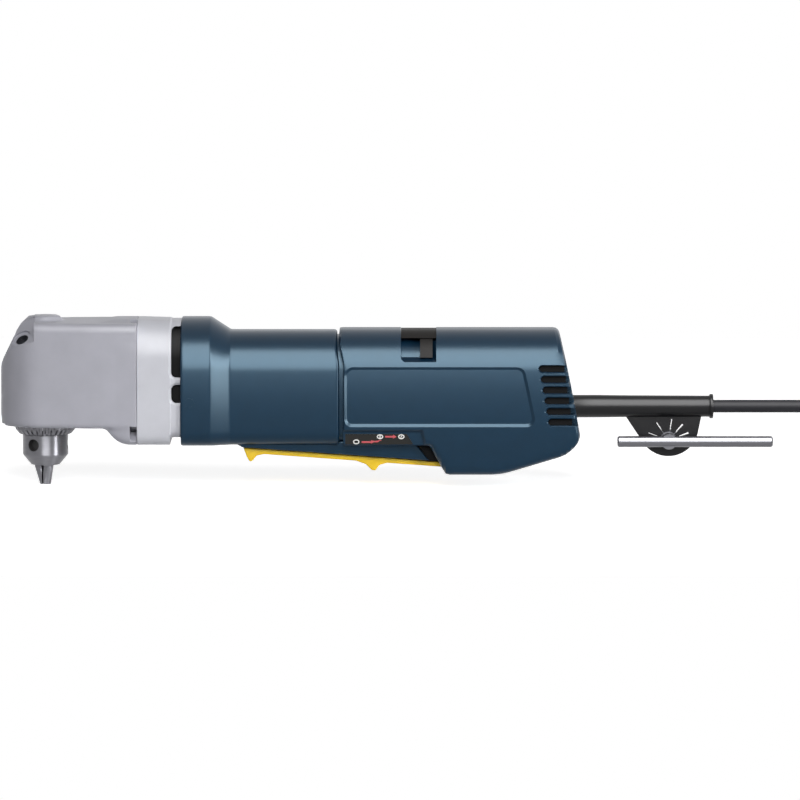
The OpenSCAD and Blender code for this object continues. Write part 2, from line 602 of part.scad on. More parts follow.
brush_y = comm_r + 0.3;
module brush_holders() color(brass) both_sides() difference() {
    translate([comm_x + 2, -tube_hw + wall + 0.1, -4.5]) cube([8, tube_hw - wall - brush_y - 1.6, 9]);
    translate([comm_x + 2.95, -tube_hw, -3.05]) cube([6.1, tube_hw, 6.1]);
}
module carbon_brushes() color(carbon) both_sides()
    translate([comm_x + 3, -brush_y - 7, -3]) cube([6, 7, 6]);
module brush_springs() color(steel) both_sides()
    tube([for (i = [0 : 60]) [comm_x + 6 + 2 * cos(i * 30), -brush_y - 7.5 - i * 0.08, 2 * sin(i * 30)]],
        0.3, 5, [0, 1, 0]);

// Gear train
module first_gear() color(steel) along_x(first_x, gear_w) translate([0, counter_z]) difference() {
    rotate(180 / first_n) polygon(gear_outline(m1, first_n, -shift1, 0.85, 1.15));
    circle(r = counter_r);
}
module countershaft() color(steel) {
    rod_x(counter_x + 0.2, stage1_end + 4.6 - counter_x, counter_r, counter_z);
    along_x(second_x, gear_w + 0.5) translate([0, counter_z]) rotate(90 % (360 / counter_n))
        polygon(gear_outline(m2, counter_n, shift2, 0.85, 1.15));
}
module countershaft_bushes() color(brass) {
    ring_x(counter_x, 4.6, counter_bush_r, counter_r + run_fit, counter_z);
    ring_x(stage1_end, 5, counter_bush_r, counter_r + run_fit, counter_z);
}
module second_gear() color(steel) along_x(second_x, gear_w) difference() {
    polygon(gear_outline(m2, second_n, -shift2, 0.85, 1.15));
    circle(r = shaft_bearing[0]);
}
module bevel_pinion() color(steel) {
    rotate([0, -90, 0]) {
        bevel_teeth(m3, pinion_n, 90 - cone_a, cone_r, cone_in, tooth_add, tooth_ded);
        rotate_extrude() polygon([[0, pinion_rim[1] - 2], [6.6, pinion_rim[1] - 2], pinion_rim,
            (cone_in / cone_r) * pinion_rim, [0, (cone_in / cone_r) * pinion_rim[1]]]);
    }
    rod_x(cone_r * sin(cone_a) + 2, head_l - 2 - cone_r * sin(cone_a), shaft_bearing[0]);
    rod_x(head_l - 3, plate_t + 3, pinion_rear_r);
}
pinion_rim = [cone_r * cos(cone_a) - tooth_ded * sin(cone_a), -cone_r * sin(cone_a) - tooth_ded * cos(cone_a)];
module pinion_bearing() color(steel) bearing_x(shaft_bearing_x, shaft_bearing);
module bevel_gear() color(steel) difference() {
    rotate(180 / crown_n) union() {
        bevel_teeth(m3, crown_n, cone_a, cone_r, cone_in, tooth_add, tooth_ded);
        rotate_extrude() polygon([[lower_bearing[0], holder_top + 0.3], [gear_rim[0], holder_top + 0.3], gear_rim,
            (cone_in / cone_r) * gear_rim, [lower_bearing[0], (cone_in / cone_r) * gear_rim[1]]]);
    }
    rod_z(-head_drop, 2 * head_drop, lower_bearing[0]);
}
gear_rim = [cone_r * sin(cone_a) - tooth_ded * cos(cone_a), -cone_r * cos(cone_a) - tooth_ded * sin(cone_a)];
thread_r = 4.7;
module spindle() color(steel) difference() {
    union() {
        rod_z(chuck_top - 11, 11.5, thread_r);
        rod_z(chuck_top, lower_z - chuck_top - 0.1, 7.6);
        rod_z(lower_z - cut, upper_z - lower_z, lower_bearing[0]);
        rod_z(upper_z - 1, upper_bearing[2] + 1, upper_bearing[0]);
    }
    rod_z(chuck_top - 12, 14, screw_r + seat_fit);
}
module spindle_bearing_lower() color(steel) translate([0, 0, lower_z]) bearing(lower_bearing);
module spindle_bearing_upper() color(steel) translate([0, 0, upper_z]) bearing(upper_bearing);

// Chuck: jaws slide in leaning bores, the nut carries their thread, the sleeve turns the nut
nut_z = nose_z + 18.6;
nut_h = 3;
sleeve_h = 13;
jaw_l = 33.4;
jaw_tip_r = 0.35;
screw_r = 2.5;
jaw_azimuth = [180, 300, 60];
function jaw_axis(z) = jaw_tip_r + (z - tip_z) * tan(jaw_a);
function jaw_edge(z) = jaw_axis(z) + jaw_r / cos(jaw_a);
module jaw_rod(r, l) translate([jaw_tip_r, 0, tip_z]) rotate([0, jaw_a, 0]) translate([0, 0, -10]) cylinder(h = l + 10, r = r);
module chuck_body() color(steel) difference() {
    rotate_extrude() polygon([[0, nose_z], [8.6, nose_z], [chuck_r - 0.4, nose_z + 5.6], [chuck_r, nose_z + 6.4],
        [chuck_r, nut_z - 0.6], [chuck_r - 0.5, nut_z - 0.2], [12, nut_z - 0.2], [12, chuck_top], [0, chuck_top]]);
    rod_z(nose_z - 1, 18, 5.1);
    rod_z(nose_z, chuck_l + 1, screw_r + 0.2);
    rod_z(chuck_top - 11.2, 12, thread_r + seat_fit);
    for (a = jaw_azimuth) rotate(a) jaw_rod(jaw_r + run_fit, 60);
    for (a = jaw_azimuth) rotate(a + 60) translate([0, 0, nose_z + 12.3]) rotate([0, 90, 0])
        translate([0, 0, 8]) cylinder(h = 10, r = pilot_r);
}
module chuck_screw() color(steel) {
    rod_z(chuck_top - 14.5, 14, screw_r);
    difference() {
        rod_z(nose_z + 17 - 2.8, 2.8, 4.4);
        translate([0, 0, nose_z + 14]) cylinder(h = 2, r = 1.6, $fn = 6);
    }
    rod_z(nose_z + 17, chuck_top - 14 - nose_z - 17, screw_r);
}
module chuck_sleeve() color(steel) difference() {
    rotate_extrude() polygon([[chuck_r + 0.4, nut_z - 0.8], [15.2, nut_z - 0.8], [sleeve_r, nut_z + 2],
        [sleeve_r, nut_z + 5], [sleeve_r - 0.6, nut_z + 5.8], [sleeve_r - 0.6, nut_z + sleeve_h],
        [jaw_edge(nut_z + sleeve_h) + 0.35, nut_z + sleeve_h], [jaw_edge(nut_z + nut_h + 2) + 0.4, nut_z + nut_h],
        [nut_r + seat_fit, nut_z + nut_h], [nut_r + seat_fit, nut_z - 0.3], [chuck_r + 0.4, nut_z - 0.3]]);
    for (i = [0 : sleeve_teeth - 1]) rotate(i * 360 / sleeve_teeth) translate([sleeve_r + 0.6, 0, nut_z - 1.6])
        rotate([0, -45, 0]) rotate(45) cube([1.7, 1.7, 9], center = true);
}
nut_r = 14.6;
module chuck_nut() color(steel) rotate_extrude() polygon([[jaw_edge(nut_z) + 0.15, nut_z], [nut_r, nut_z],
    [nut_r, nut_z + nut_h], [jaw_edge(nut_z + nut_h) + 0.15, nut_z + nut_h]]);
module chuck_jaw(i) color(steel) rotate(jaw_azimuth[i]) intersection() {
    jaw_rod(jaw_r, jaw_l / cos(jaw_a));
    translate([0, 0, tip_z]) linear_extrude(60) polygon([[jaw_gap, 0], [jaw_gap + 30, -30 * tan(60)],
        [jaw_gap + 30, 30 * tan(60)]]);
}
jaw_gap = 0.6;
module chuck_jaw_1() chuck_jaw(0);
module chuck_jaw_2() chuck_jaw(1);
module chuck_jaw_3() chuck_jaw(2);

// Trigger lever: plate under the keel with two finger nubs and hinge lugs at the front
lever_x = mouth_x;
module trigger() color(lever_yellow) difference() {
    union() {
        along_y(2 * lever_hw) polygon([
            [lever_x + 0.6, mouth_z - 0.6], [lever_x + 2.6, mouth_z - 6], [lever_x + 4.4, mouth_z - 9.2],
            [lever_x + 6.2, mouth_z - 8.4], [lever_x + 8.6, mouth_z - 5.4], [lever_x + 13, mouth(lever_x + 13) - 0.6 - lever_t],
            [lever_x + 68, mouth(lever_x + 68) - 0.6 - lever_t], [lever_x + 74, mouth(lever_x + 74) - 5.4],
            [lever_x + 77.4, mouth(lever_x + 77.4) - 8.6], [lever_x + 79.6, mouth(lever_x + 79.6) - 8.6],
            [lever_x + 82, mouth(lever_x + 82) - 5.2], [lever_x + 86.5, mouth(lever_x + 86.5) - 0.6 - lever_t],
            [lever_x + lever_l, mouth(lever_x + lever_l) - 0.6 - lever_t],
            [lever_x + lever_l, mouth(lever_x + lever_l) - 0.6], [lever_x + 8, mouth(lever_x + 8) - 0.5]]);
        along_y(2 * lug_hw) {
            translate(pivot) circle(r = 3.4);
            polygon([[pivot[0] - 3, pivot[1]], [pivot[0] - 2, mouth_z - 3], [pivot[0] + 6, mouth_z - 3],
                [pivot[0] + 3, pivot[1]]]);
        }
    }
    rod_y(-lever_hw, 2 * lever_hw, pin_r + run_fit, pivot[0], pivot[1]);
    block(pivot[0] - 6, pivot[0] + 4.2, spring_hw, mouth_z - 0.4, pivot[1] + 5);
}
lug_hw = 13;
spring_hw = 5;
module trigger_pin() color(steel) rod_y(-lever_hw - 2, 2 * lever_hw + 4, pin_r, pivot[0], pivot[1]);
module trigger_spring() color(steel) tube([for (i = [0 : 60])
    [pivot[0] + 2.5 * cos(i * 30), -4 + i * 8 / 60, pivot[1] + 2.5 * sin(i * 30)]], 0.35, 6, [0, 1, 0]);

// Switch, plunger, slider and capacitor
plunger_x = lever_x + 103;
switch_rear = 24;
switch_z = -house_drop + wall + 2.6;
lever_top_z = mouth(plunger_x) - 0.6;
module switch_body() color(slider_grey) difference() {
    union() {
        block(plunger_x - 22, plunger_x + switch_rear, 12, switch_z, switch_z + 27);
        block(plunger_x - 16, plunger_x + 10, 8, switch_z + 26, switch_z + 31);
    }
    rod_z(switch_z - 1, 12, 3.4, plunger_x);
    block(plunger_x + 18, plunger_x + 25, 9, switch_z + 17, switch_z + 23);
}
module switch_plunger() color(lever_yellow) rod_z(lever_top_z + 0.3, switch_z + 4 - lever_top_z, 3, plunger_x);
stem_hw = 2.5;
// The slider's knobs stand below a fixed cover strip and its saddle runs between the strip and the window floor
slider_x = window[1] - 2.2 - slider_l;
cover_z = 23.4;
cover_d = 0.45 * window_d;
saddle_d = 0.52 * window_d;
module rear_skin(t) along_x(rear_x, rear_l) tomb(rear_hw - t, rear_top - t, belly_drop, 23 - t, 8);
module reverse_slider() color(slider_grey) {
    difference() {
        intersection() {
            block(slider_x, slider_x + slider_l, rear_hw, window[2] + 2.6, rear_top);
            union() {
                rear_skin(saddle_d);
                intersection() {
                    rear_skin(1);
                    block(slider_x - 1, slider_x + slider_l + 1, rear_hw, 0, cover_z - loose);
                }
            }
        }
        rear_skin(window_d - loose);
    }
    translate([slider_x + slider_l / 2 - 1.5, -stem_hw, switch_z + 31.4])
        cube([3, 2 * stem_hw, rear_top - window_d + 1 - switch_z - 31.4]);
}
module slider_cover() color(slider_grey) difference() {
    intersection() {
        block(window[0], window[1], rear_hw, cover_z, rear_top);
        rear_skin(0.4);
    }
    rear_skin(cover_d);
}
cap_z = shell_screw_at[2][1] + pillar_r + seat_fit;
// The capacitor shares the room between the switch and the cord clamp
module capacitor() color(lever_yellow) {
    cap_room = clamp_x - plunger_x - switch_rear;
    cap_x = plunger_x + switch_rear + cap_room / 7;
    block(cap_x, cap_x + 0.42 * cap_room, 8, cap_z, cap_z + 13);
}

// Cord sleeve with the key holder, cord clamp
flap_x = rear_end + 53.9; flap_z = -31.2; flap_t = 3;
key_z = cord_z - 20.4;
flap_left = [flap_x - flap_r - 10.8, cord_z];
flap_right = [flap_x + flap_r + 2.5, cord_z];
// Point just inside the flap's circle where its straight edge from p runs in
function touch(p, s) = let (v = p - [flap_x, flap_z], a = atan2(v[1], v[0]) + s * acos(flap_r / norm(v)))
    [flap_x, flap_z] + 0.998 * flap_r * [cos(a), sin(a)];
boot_end = rear_end + boot_l - 0.4;
key_hole_r = 7.4;
module cord_sleeve() color(rubber) difference() {
    union() {
        rod_x(rear_end - 14, boot_end - rear_end + 14, boot_r, cord_z);
        rod_x(rear_end - 10, 3, boot_root_r, cord_z);
        rod_x(boot_end - 2.1, 2.1, boot_r + 0.75, cord_z);
        along_y(flap_t) {
            translate([flap_x, flap_z]) circle(r = flap_r);
            polygon([flap_left, touch(flap_left, 1), touch(flap_right, -1), flap_right]);
        }
    }
    rod_x(rear_end - 15, boot_l + 30, cord_d / 2 + 0.15, cord_z);
    rod_y(-flap_t, 2 * flap_t, key_hole_r, flap_x, key_z);
    translate([flap_x, 0, key_z]) for (a = [-70, -34, 9, 42, 70]) rotate([0, a, 0])
        translate([-0.7, -flap_t, key_hole_r - 1]) cube([1.4, 2 * flap_t, 6]);
}
clamp_x = rear_end - 32; clamp_w = 10; clamp_hw = 11; clamp_screw_y = 7.5; clamp_screw_r = 1.6;
module cord_clamp() color(slider_grey) difference() {
    block(clamp_x, clamp_x + clamp_w, clamp_hw, cord_z - cord_d / 2 + 0.1, cord_z + cord_d / 2 + 2);
    rod_x(clamp_x - 1, clamp_w + 2, cord_d / 2 + 0.05, cord_z);
    block(clamp_x - 1, clamp_x + clamp_w + 1, cord_d / 2 + 0.05, cord_z - cord_d, cord_z);
    for (s = [-1, 1]) rod_z(cord_z - 20, 40, clamp_screw_r + 0.1, clamp_x + clamp_w / 2, s * clamp_screw_y);
}
module clamp_screws() color(dark_steel) for (s = [-1, 1]) {
    rod_z(cord_z - 12, 12 + cord_d / 2 + 2, clamp_screw_r, clamp_x + clamp_w / 2, s * clamp_screw_y);
    rod_z(cord_z + cord_d / 2 + 2, 2, 2.8, clamp_x + clamp_w / 2, s * clamp_screw_y);
}

// Lead: straight through the sleeve, then down and aside in two bends to the floor
cord_r = cord_d / 2;
tie_t = 1.2;
pitch = cord_d + 0.5;
floor_z = tip_z + tie_t + 0.3 + cord_r;
out_r = fold_r + pitch / 2;
in_r = fold_r - pitch / 2;
bend_r = 34; bend_a = 55;
lead_drop = [0, -out_r, floor_z - cord_z];
lead_side = lead_drop / norm(lead_drop);
slope_l = (norm(lead_drop) - 2 * bend_r * (1 - cos(bend_a))) / sin(bend_a);
bend_x = rear_end + 136;
lead_down = bend_x + 2 * bend_r * sin(bend_a) + slope_l * cos(bend_a);
lead_end = lead_down + 15;
lead_path = concat([[clamp_x - 4, 0, cord_z], [rear_end, 0, cord_z], [rear_end + boot_l, 0, cord_z]],
    [for (i = [0 : 6]) let (a = bend_a * i / 6)
        [bend_x + bend_r * sin(a), 0, cord_z] + bend_r * (1 - cos(a)) * lead_side],
    [for (i = [0 : 6]) let (a = bend_a * (1 - i / 6))
        [lead_down - bend_r * sin(a), -out_r, floor_z] - bend_r * (1 - cos(a)) * lead_side],
    [[lead_end, -out_r, floor_z]]);
module cord_lead() color(rubber) tube(lead_path, cord_r, 10);

// Hank: four long loops in three layers, wound in, out and in, climbing over half a turn at each change
hank_x = lead_end + 10 + run_l / 2;
hank_turns = 4;
ring_n = 24;
function ease(u) = u * u * (3 - 2 * u);
function hank_r(t) = t < 1 ? out_r - pitch * t : t < 1.5 ? in_r - pitch * (0.25 - abs(t - 1.25)) :
    t < 2.5 ? in_r + pitch * (t - 1.5) : t < 3 ? out_r + pitch * (0.25 - abs(t - 2.75)) : out_r - pitch * (t - 3);
function hank_z(t) = floor_z + pitch * (t < 1 ? 0 : t < 1.5 ? ease((t - 1) * 2) : t < 2.5 ? 1 :
    t < 3 ? 1 + ease((t - 2.5) * 2) : 2);
// Each half turn is a fold, and the step to the next fold is a straight run
hank_loops = [for (k = [0 : 2 * hank_turns - 1]) for (i = [0 : ring_n / 2])
    let (t = k / 2 + i / ring_n, a = t * 360 - 90, end = k % 2 == 0 ? 1 : -1)
    [hank_x + end * run_l / 2 + hank_r(t) * cos(a), hank_r(t) * sin(a), hank_z(t)]];

// The end leaves the top of the front run and comes down to the plug, which lies inside the hank
plug_h = 13.5;
plug_z = tip_z + plug_h;
plug_l = 42;
tail_at = [hank_x - run_l / 2, -in_r, hank_z(hank_turns)];
tail_drop = [0, in_r, plug_z - hank_z(hank_turns)];
tail_side = tail_drop / norm(tail_drop);
tail_r = 45;
tail_a = acos(1 - norm(tail_drop) / 2 / tail_r);
tail_end = tail_at + tail_drop + [2 * tail_r * sin(tail_a), 0, 0];
plug_x = tail_end[0] + 3;
hank_path = concat([[lead_end, -out_r, floor_z], [hank_x - run_l / 2, -out_r, floor_z]], hank_loops,
    [for (i = [1 : 6]) let (a = tail_a * i / 6)
        tail_at + [tail_r * sin(a), 0, 0] + tail_r * (1 - cos(a)) * tail_side],
    [for (i = [1 : 6]) let (a = tail_a * (1 - i / 6))
        tail_end - [tail_r * sin(a), 0, 0] - tail_r * (1 - cos(a)) * tail_side],
    [[plug_x - seat_fit, tail_end[1], tail_end[2]]]);
least_gap = min([for (i = [0 : 2 : len(hank_path) - 1]) for (j = [i + 10 : len(hank_path) - 1])
    norm(hank_path[i] - hank_path[j])]) - cord_d;
echo("hank least gap to itself", least_gap);
echo("lead length", path_l(lead_path), "hank length", path_l(hank_path));
function path_l(p) = let (step = [for (i = [1 : len(p) - 1]) norm(p[i] - p[i - 1])]) step * [for (d = step) 1];
module cord_hank() color(rubber) tube(hank_path, cord_r, 6);

// Tie round the rear run of the hank
tie_w = 9;
tie_y0 = in_r - cord_r - 0.6;
tie_y1 = out_r + cord_r + 0.6;
tie_h = 2 * pitch + cord_d + 0.6;
module cord_tie() color(slider_grey) difference() {
    translate([hank_x - tie_w / 2, tie_y0 - tie_t, tip_z])
        cube([tie_w, tie_y1 - tie_y0 + 2 * tie_t, tie_h + 2 * tie_t]);
    translate([hank_x - tie_w, tie_y0, tip_z + tie_t]) cube([2 * tie_w, tie_y1 - tie_y0, tie_h]);
}

// Two-pin plug lying on the floor inside the hank
module plug_body() color(rubber) translate([plug_x, 0, 0]) difference() {
    intersection() {
        linear_extrude(200, center = true) polygon(rounded([[0, -6, 0], [10, -6.5, 4], [18, -17, 6],
            [plug_l, -18.5, 3], [plug_l, 18.5, 3], [18, 17, 6], [10, 6.5, 4], [0, 6, 0]]));
        along_y(60) polygon(rounded([[0, plug_z - 6, 0], [9, plug_z - 6.5, 4], [17, plug_z - plug_h, 5],
            [plug_l, plug_z - plug_h, 2], [plug_l, plug_z + plug_h, 2], [17, plug_z + plug_h, 5],
            [9, plug_z + 6.5, 4], [0, plug_z + 6, 0]]));
    }
    for (s = [-1, 1]) rod_x(plug_l - 10, 20, 2.4, plug_z, s * 9.5);
}
module plug_pins() color(brass) for (s = [-1, 1]) translate([plug_x, s * 9.5, plug_z])
    rotate([0, 90, 0]) translate([0, 0, plug_l - 10]) { cylinder(h = 27.5, r = 2.4); translate([0, 0, 27.5]) sphere(r = 2.4); }

// Chuck key: head, stem, pinion and pilot along Y, with a bar that slides through the head
bar_y = -flap_t / 2 - 8;
bar_x = flap_x - 30.9;
pinion_y = 0.9 - flap_t / 2;
bar_end = 0.8;
module key_stem() color(steel) difference() {
    union() {
        rod_y(bar_y - 2.2, pinion_y - bar_y + 3.2, key_head_r, flap_x, key_z);
        translate([flap_x, pinion_y, key_z]) rotate([-90, 0, 0]) linear_extrude(8) difference() {
            circle(r = key_hole_r - loose);
            for (a = [0 : 36 : 324]) rotate(a) translate([key_hole_r - loose, 0]) circle(r = 1.3);
        }
        rod_y(pinion_y + 7, 9, pilot_r - 0.2, flap_x, key_z);
    }
    rod_x(flap_x - 20, 40, bar_r + run_fit, key_z, bar_y);
}
module key_bar() color(steel) {
    rod_x(bar_x + bar_end, bar_l - 2 * bar_end, bar_r, key_z, bar_y);
    translate([bar_x, bar_y, key_z]) rotate([0, 90, 0]) cylinder(h = bar_end, r1 = bar_r - bar_end, r2 = bar_r);
    translate([bar_x + bar_l, bar_y, key_z]) rotate([0, -90, 0]) cylinder(h = bar_end, r1 = bar_r - bar_end, r2 = bar_r);
}

lift() gear_head();
lift() gear_flange();
lift() bearing_holder();
lift() gear_plate();
lift() motor_housing();
lift() rear_shell_left();
lift() rear_shell_right();
lift() head_screws();
lift() shell_screws();
lift() switch_labels();
lift() armature_shaft();
lift() armature_core();
lift() armature_windings();
lift() commutator();
lift() cooling_fan();
lift() stator_core();
lift() field_coils();
lift() motor_bearing_front();
lift() motor_bearing_rear();
lift() brush_holders();
lift() carbon_brushes();
lift() brush_springs();
lift() first_gear();
lift() countershaft();
lift() countershaft_bushes();
lift() second_gear();
lift() bevel_pinion();
lift() pinion_bearing();
lift() bevel_gear();
lift() spindle();
lift() spindle_bearing_lower();
lift() spindle_bearing_upper();
lift() chuck_body();
lift() chuck_screw();
lift() chuck_sleeve();
lift() chuck_nut();
lift() chuck_jaw_1();
lift() chuck_jaw_2();
lift() chuck_jaw_3();
lift() trigger();
lift() trigger_pin();
lift() trigger_spring();
lift() switch_body();
lift() switch_plunger();
lift() reverse_slider();
lift() slider_cover();
lift() capacitor();
lift() cord_sleeve();
lift() cord_clamp();
lift() clamp_screws();
lift() cord_lead();
lift() cord_hank();
lift() cord_tie();
lift() plug_body();
lift() plug_pins();
lift() key_stem();
lift() key_bar();
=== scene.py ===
import json
import math
import bmesh
import bpy
import numpy as np
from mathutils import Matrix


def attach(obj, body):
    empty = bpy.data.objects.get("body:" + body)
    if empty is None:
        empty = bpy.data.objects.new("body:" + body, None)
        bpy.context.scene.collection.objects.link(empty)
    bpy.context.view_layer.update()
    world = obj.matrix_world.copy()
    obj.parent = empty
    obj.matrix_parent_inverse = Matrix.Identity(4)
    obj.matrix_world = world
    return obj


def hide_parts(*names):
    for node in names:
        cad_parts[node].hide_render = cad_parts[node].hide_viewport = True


# Right angle drill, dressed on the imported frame. Shapes are worked out in millimetres with z measured from
# the motor axis, and go into the meshes in metres.
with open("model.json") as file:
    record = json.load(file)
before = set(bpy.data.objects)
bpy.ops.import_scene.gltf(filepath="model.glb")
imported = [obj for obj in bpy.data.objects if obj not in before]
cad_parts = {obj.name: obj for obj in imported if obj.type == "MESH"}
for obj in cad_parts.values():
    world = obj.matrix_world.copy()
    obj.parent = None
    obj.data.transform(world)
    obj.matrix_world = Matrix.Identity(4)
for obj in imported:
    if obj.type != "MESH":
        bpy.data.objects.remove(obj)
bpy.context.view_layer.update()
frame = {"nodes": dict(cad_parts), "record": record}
axisZ = 66.0   # motor axis above the jaw tips
print("frame loaded,", len(frame["nodes"]), "nodes")


# camera, light and floor
shot = {
    "centre": (212.8, 0.0, 50.5),   # point in the middle of the picture, mm in the row frame
    "width": 480.0,                 # what the picture shows at that distance, mm
    "distance": 4000.0,
    "elevation": 5.5,               # degrees above the horizon
}
tilt = math.radians(shot["elevation"])
eye = np.array(shot["centre"]) + shot["distance"] * np.array([0, -math.cos(tilt), math.sin(tilt)])
cameraData = bpy.data.cameras.new("camera")
cameraData.sensor_width = 36.0
cameraData.lens = 36.0 * shot["distance"] / shot["width"]
cameraData.clip_end = 20.0
camera = bpy.data.objects.new("camera", cameraData)
camera.location = eye / 1000
camera.rotation_euler = (math.radians(90) - tilt, 0, 0)
bpy.context.collection.objects.link(camera)
bpy.context.scene.camera = camera
bpy.context.scene.view_settings.view_transform = "Standard"


def linearColor(text):   # sRGB hex to linear RGBA
    c = np.array([int(text[i:i + 2], 16) for i in (1, 3, 5)]) / 255
    return (*np.where(c <= 0.04045, c / 12.92, ((c + 0.055) / 1.055) ** 2.4).tolist(), 1.0)


def addNode(tree, kind, values=None, links=None, **settings):   # one node with its settings, socket values and links
    node = tree.nodes.new(kind)
    for key, value in settings.items():
        setattr(node, key, value)
    for key, value in (values or {}).items():
        node.inputs[key].default_value = value
    for key, source in (links or {}).items():
        tree.links.new(source, node.inputs[key])
    return node


def seenDirectly(tree):   # 1 for rays from the camera, from shiny surfaces and through glass, 0 for all others
    rays = addNode(tree, "ShaderNodeLightPath")
    seen = rays.outputs["Is Camera Ray"]
    for kind in ("Is Glossy Ray", "Is Transmission Ray"):
        larger = addNode(tree, "ShaderNodeMath", links={0: seen, 1: rays.outputs[kind]}, operation="MAXIMUM")
        seen = larger.outputs[0]
    return seen


studio = {
    "aimAt": (0.21, 0, 0.06),   # point that the lamps face, metres
    "worldDim": 0.10,           # the world's strength for matt surfaces, which don't see it white
    "floorX": (-0.7, 1.4),      # the floor's reach, metres
    "floorY": (-0.45, 1.0),
    "floorTone": 0.82,
    "floorGlow": 0.84,          # lifts the floor to white where it is seen
}
lamps = {   # place in metres, size in metres, watts, and whether it lights matt surfaces and shows in shiny ones
    "keyBox": ((0.28, -1.94, 1.47), (0.9, 1.6), 34.0, True, False),
    "bandBox": ((0.24, -1.70, 1.76), (1.6, 3.0), 262.0, False, True),   # the soft box that draws the pale band
    "rightBox": ((1.75, -1.10, 0.50), (0.4, 0.9), 22.0, True, False),
    "rightBand": ((1.70, -1.06, 0.90), (0.45, 1.8), 100.0, False, True),
}
for name, (spot, size, watts, lights, shows) in lamps.items():
    data = bpy.data.lights.new(name, "AREA")
    data.shape = "RECTANGLE"
    data.size, data.size_y, data.energy = size[0], size[1], watts
    lamp = bpy.data.objects.new(name, data)
    lamp.location = spot
    lamp.visible_diffuse, lamp.visible_glossy = lights, shows
    aim = np.array(studio["aimAt"]) - np.array(spot)
    yaw, pitch = math.atan2(aim[1], aim[0]), math.atan2(math.hypot(aim[0], aim[1]), -aim[2])
    lamp.rotation_euler = (pitch, 0, yaw - math.radians(90))
    bpy.context.collection.objects.link(lamp)

world = bpy.data.worlds.new("studio")
bpy.context.scene.world = world
world.use_nodes = True
tree = world.node_tree
tree.nodes.clear()
dim = addNode(tree, "ShaderNodeBackground", {"Color": (1, 1, 1, 1), "Strength": studio["worldDim"]})
white = addNode(tree, "ShaderNodeBackground", {"Color": (1, 1, 1, 1), "Strength": 1.0})
mixed = addNode(tree, "ShaderNodeMixShader", links={0: seenDirectly(tree), 1: dim.outputs[0], 2: white.outputs[0]})
addNode(tree, "ShaderNodeOutputWorld", links={"Surface": mixed.outputs[0]})


# materials
crownHeight = 0.041   # the height that a crowned finish swells about, metres


def newMaterial(name):   # an empty material and its node tree
    material = bpy.data.materials.new(name)
    material.use_nodes = True
    material.node_tree.nodes.clear()
    return material, material.node_tree


def finished(name, color, rough, metallic=0.0, grain=1.0, bump=0.02, mottle=0.08, stretch=(1, 1, 1),
             specular=0.5, tint=(1, 1, 1), crown=0.0, lathed=0.0):
    # A surface whose colour and roughness vary softly over about ten grains, with a bump of one grain (mm).
    # stretch draws the grain out along an axis, as brushing or turning does; crown swells upright faces about
    # crownHeight, by crown times the square of the distance from it, in metres; lathed draws highlights out along
    # an upright axis, across the tool lines that run round it.
    material, tree = newMaterial(name)
    base = linearColor(color)
    coords = addNode(tree, "ShaderNodeTexCoord")
    drawn = addNode(tree, "ShaderNodeMapping", {"Scale": stretch}, {"Vector": coords.outputs["Object"]})
    fine = addNode(tree, "ShaderNodeTexNoise", {"Scale": 1000 / grain, "Detail": 3.0, "Roughness": 0.6},
                   {"Vector": drawn.outputs[0]})
    broad = addNode(tree, "ShaderNodeTexNoise", {"Scale": 100 / grain, "Detail": 4.0}, {"Vector": drawn.outputs[0]})
    ramp = addNode(tree, "ShaderNodeValToRGB", links={"Fac": broad.outputs["Fac"]})
    ramp.color_ramp.elements[0].position, ramp.color_ramp.elements[1].position = 0.3, 0.7
    ramp.color_ramp.elements[0].color = [c * (1 - mottle) for c in base[:3]] + [1]
    ramp.color_ramp.elements[1].color = [min(1, c * (1 + mottle)) for c in base[:3]] + [1]
    shine = addNode(tree, "ShaderNodeMapRange", {"To Min": rough - 0.05, "To Max": rough + 0.05},
                    {"Value": fine.outputs["Fac"]})
    height = addNode(tree, "ShaderNodeBump", {"Strength": 0.6, "Distance": bump / 1000},
                     {"Height": fine.outputs["Fac"]})
    if crown:
        parts = addNode(tree, "ShaderNodeSeparateXYZ", links={0: coords.outputs["Object"]})
        above = addNode(tree, "ShaderNodeMath", {1: crownHeight}, {0: parts.outputs["Z"]}, operation="SUBTRACT")
        swell = addNode(tree, "ShaderNodeMath", links={0: above.outputs[0], 1: above.outputs[0]}, operation="MULTIPLY")
        height = addNode(tree, "ShaderNodeBump", {"Strength": 1.0, "Distance": crown},
                         {"Height": swell.outputs[0], "Normal": height.outputs[0]}, invert=True)
    shader = addNode(tree, "ShaderNodeBsdfPrincipled",
                     {"Metallic": metallic, "Specular IOR Level": specular, "Specular Tint": (*tint, 1)},
                     {"Base Color": ramp.outputs["Color"], "Roughness": shine.outputs[0], "Normal": height.outputs[0]})
    if lathed:
        tangent = addNode(tree, "ShaderNodeTangent", direction_type="RADIAL", axis="Z")
        tree.links.new(tangent.outputs[0], shader.inputs["Tangent"])
        shader.inputs["Anisotropic"].default_value = lathed
        shader.inputs["Anisotropic Rotation"].default_value = 0.25   # a quarter turn, from round the axis to along it
    addNode(tree, "ShaderNodeOutputMaterial", links={"Surface": shader.outputs[0]})
    return material


